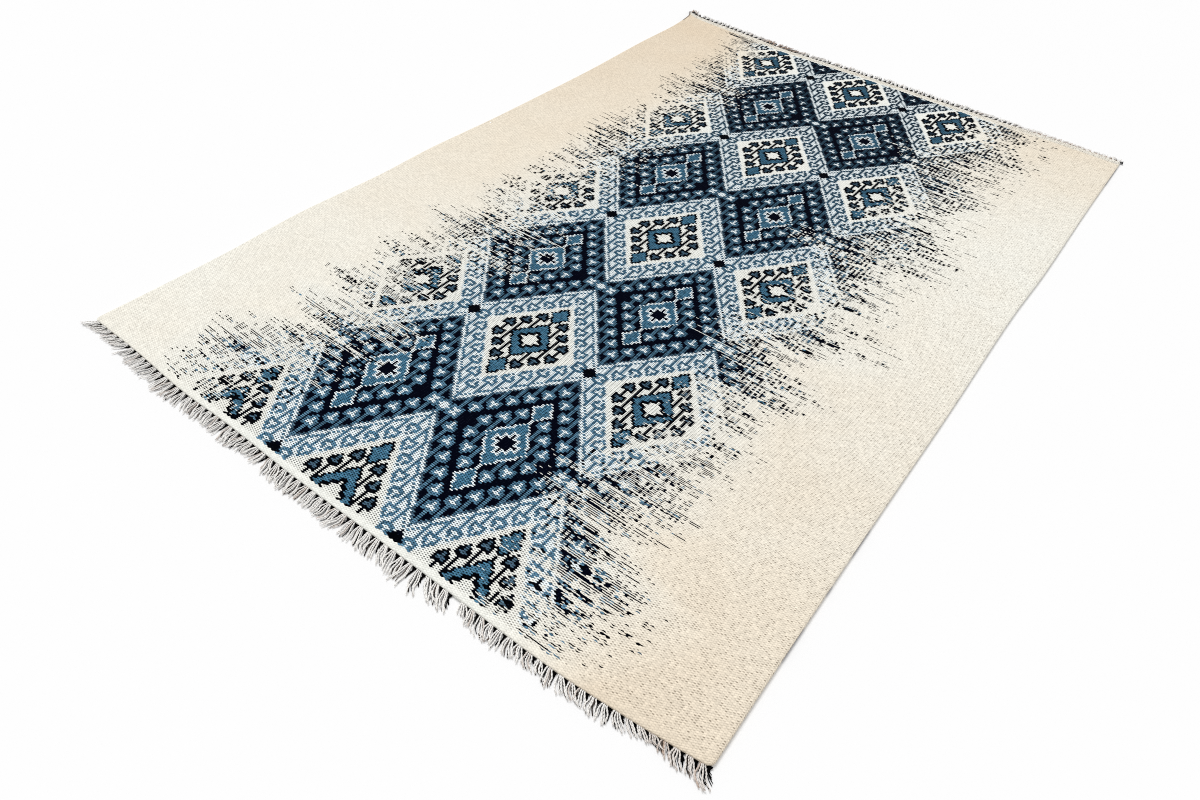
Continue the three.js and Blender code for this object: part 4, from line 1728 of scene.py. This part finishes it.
    def _shade_strands(
        self, body: WovenBody, plan: dict[str, Array], rng: np.random.Generator
    ) -> tuple[Array, Array]:
        """Dark strands that are painted shade: a wedge between bundles that narrows outwards, and one in each
        gap between cords.

        Args:
            body: The cloth.
            plan: Where the bundles stand and how they lie.
            rng: Source of chance.

        Returns:
            Points, and a shade for each, by tube, station and side.
        """
        wedge = 0.5 + np.linspace(-0.5, 0.5, self.wedge_strands) * self.wedge_width
        gap = (np.arange(self.cords - 1) + 1) / self.cords - 0.5
        side = np.concatenate([wedge, gap])
        each = {key: np.repeat(value, len(side)) for key, value in plan.items()}
        in_wedge = np.tile(np.arange(len(side)) < len(wedge), len(plan["x"]))
        side = np.tile(side, len(plan["x"]))
        count = len(side)
        wedge_reach = rng.uniform(*self.wedge, count) - self.wedge_slope * np.abs(side - 0.5)
        reach = np.where(in_wedge, wedge_reach, rng.uniform(*self.gap_reaches, count))
        thick = self.dark_radius * np.where(in_wedge, 1.0, rng.uniform(*self.gap_thicknesses, count))
        lean = each["lean"] + np.radians(rng.uniform(-self.dark_lean, self.dark_lean, count))
        paleness = np.where(in_wedge, 0.0, rng.uniform(0.0, self.gap_paleness, count))
        narrowed = 0.5 + (side - 0.5) * self.wedge_narrowing
        strands = Strands(
            x=each["x"],
            root=np.where(in_wedge, side * each["pitch"], side * self.root_spread),
            fan=np.where(in_wedge, narrowed, side) * each["pitch"],
            lean=lean,
            length=each["length"] * reach,
            high=np.full(count, self.dark_height),
            low=thick,
            bow=each["bow"],
            turn=each["turn"],
            radius=thick,
            # Near black: painted shade between the cords and the bundles
            shade=each["dark"] - paleness,
        )
        path = self.path(body, strands, self.dark_stations)
        s = np.linspace(0, 1, self.dark_stations)
        radius = strands.radius[:, None] * (1 - self.dark_taper * s)
        points = self.tubes(path, radius, 0.0, 1, np.zeros(count))
        return points, np.broadcast_to(strands.shade[:, None, None], points.shape[:-1])


NEAR_LIE: Table = {
    "along": (
        0, 0.05, 0.08, 0.11, 0.135, 0.16, 0.20, 0.25, 0.31, 0.35, 0.362, 0.38, 0.42, 0.46, 0.50, 0.54,
        0.58, 0.605, 0.63, 0.67, 0.70, 0.72, 0.76, 0.80, 0.85, 0.865, 0.88, 0.915, 0.935, 0.955, 0.98, 1,
    ),
    "lean": (
        -44, -40, -24, -10, -18, 8, 12, 8, 4, -10, -16, 16, 6, 2, 0, 4,
        14, 4, 22, 24, 40, 30, 28, 28, 24, 14, 30, 50, 54, 28, 24, 50,
    ),
    "length": (
        31, 33, 35, 35, 35, 35, 38, 35, 38, 32, 30, 37, 37, 35, 39, 38,
        45, 37, 46, 46, 25, 39, 32, 30, 34, 26, 34, 33, 23, 28, 33, 37,
    ),
}
FAR_LIE: Table = {
    "along": (0, 0.1, 0.3, 0.5, 0.7, 0.9, 1),
    "lean": (-12, 4, 14, -6, 8, 18, 4),
    "length": (26, 34, 38, 36, 36, 26, 24),
}


@dataclass(frozen=True)
class Studio:
    """A pale floor, a soft key light from the left, a bright surround and the photo's camera."""

    azimuth: float = 32.179
    elevation: float = 43.170
    roll: float = 5.829
    lens: float = 28.437
    sensor: float = 36.0
    eye: Colour = (0.9303, -0.6803, 1.3163)
    floor_size: float = 24.0
    floor_drop: float = 0.0004
    floor_colour: Srgb = (252, 252, 252)
    floor_shade: Srgb = (235, 235, 235)
    floor_mottle: float = 0.04
    # Light on the floor from all round, and from the key light, whose softness is in degrees
    surround: float = 0.60
    key_share: float = 0.42
    key_softness: float = 30.0
    key_from: Colour = (-2.0, 1.5, 3.0)
    # Width of the picture's pixel filter, in pixels
    filter_width: float = 1.0

    def camera(self, origin: Array) -> None:
        """Places the camera: forward by azimuth and elevation, then rolled about its axis.

        Args:
            origin: The middle of the cloth's near end, from which the eye is measured.
        """
        a, e, r = (math.radians(angle) for angle in (self.azimuth, self.elevation, self.roll))
        forward = Vector((-math.sin(a) * math.cos(e), math.cos(a) * math.cos(e), -math.sin(e)))
        level = Vector((math.cos(a), math.sin(a), 0))
        upright = level.cross(forward)
        right = level * math.cos(r) + upright * math.sin(r)
        up = right.cross(forward)
        camera = add_object("camera", bpy.data.cameras.new("camera"))
        camera.data.lens = self.lens
        camera.data.sensor_width = self.sensor
        turn = Matrix((right, up, -forward)).transposed().to_4x4()
        camera.matrix_world = Matrix.Translation(Vector(self.eye) + Vector(origin)) @ turn
        bpy.context.scene.camera = camera

    def floor(self) -> None:
        """Lays the floor, just clear of the cloth's underside."""
        half = self.floor_size / 2
        mesh = bpy.data.meshes.new("floor")
        corners = [(-half, -half, 0), (half, -half, 0), (half, half, 0), (-half, half, 0)]
        mesh.from_pydata(corners, [], [(0, 1, 2, 3)])
        p = Painter("pale_floor")
        grain = p.noise(p.place(), 3.0) * self.floor_mottle
        p.finish(p.mix_colours(grain, linear(self.floor_colour), linear(self.floor_shade)), 0.8)
        mesh.materials.append(p.material)
        floor = add_object("floor", mesh)
        floor.location.z = -self.floor_drop

    def lights(self) -> None:
        """Sets the surround and the soft key light, which together light white cloth to white."""
        world = bpy.data.worlds.new("surround")
        world.use_nodes = True
        background = world.node_tree.nodes["Background"]
        background.inputs["Color"].default_value = (1, 1, 1, 1)
        background.inputs["Strength"].default_value = self.surround
        bpy.context.scene.world = world
        toward = Vector(self.key_from).normalized()
        key = add_object("key", bpy.data.lights.new("key", "SUN"))
        key.data.energy = self.key_share * math.pi / toward.z
        key.data.angle = math.radians(self.key_softness)
        key.rotation_euler = (-toward).to_track_quat("-Z", "Y").to_euler()

    def picture(self) -> None:
        """Keeps the colours plain and the weave crisp."""
        scene = bpy.context.scene
        scene.view_settings.view_transform = "Standard"
        scene.cycles.use_denoising = False
        scene.cycles.filter_width = self.filter_width


def dress(piece: bpy.types.Object, material: bpy.types.Material, node: str) -> None:
    """Gives a piece its finish and its place in the frame.

    Args:
        piece: The piece.
        material: Its material.
        node: The CAD node that it stands for.
    """
    piece.data.materials.append(material)
    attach(piece, "root")
    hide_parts(node)
    LOG.info("%s: %d vertices, %d faces", piece.name, len(piece.data.vertices), len(piece.data.polygons))


def main() -> None:
    """Builds the studio and the rug."""
    logging.basicConfig(level=logging.INFO, format="%(name)s: %(message)s")
    body = WovenBody()
    studio = Studio()
    studio.camera(body.origin())
    studio.floor()
    studio.lights()
    studio.picture()
    cloth = body.build()
    dress(cloth, WovenFinish().material(), "woven_body")
    yarn = YarnFinish().material()
    near_fringe = Fringe(
        "near_fringe_yarns", End.NEAR, NEAR_EDGE, NEAR_LIE, seed=11, stations=26, gaps=((0.682, 0.696),)
    )
    near = near_fringe.build(body)
    dress(near, yarn, "fringe_near")
    far_fringe = Fringe(
        "far_fringe_yarns", End.FAR, FAR_EDGE, FAR_LIE, seed=23, stations=18, bundles=97, cords=3,
        wedge=(0.75, 0.92), wedge_width=0.72, dark_height=0.0050, inset=-0.001, root_spread=0.0042,
        fans=(0.4, 1.0),
        tint={"along": (0, 0.03, 0.17, 0.21, 0.26, 0.30, 1), "tint": (0.6, 0.05, 0.08, 0.5, 0.5, 0.08, 0.02)},
        darkness={"along": (0, 0.74, 0.83, 0.96, 1), "dark": (1.1, 1.1, 0.55, 0.5, 1.1)},
    )
    far = far_fringe.build(body)
    dress(far, yarn, "fringe_far")


if __name__ == "__main__":
    main()
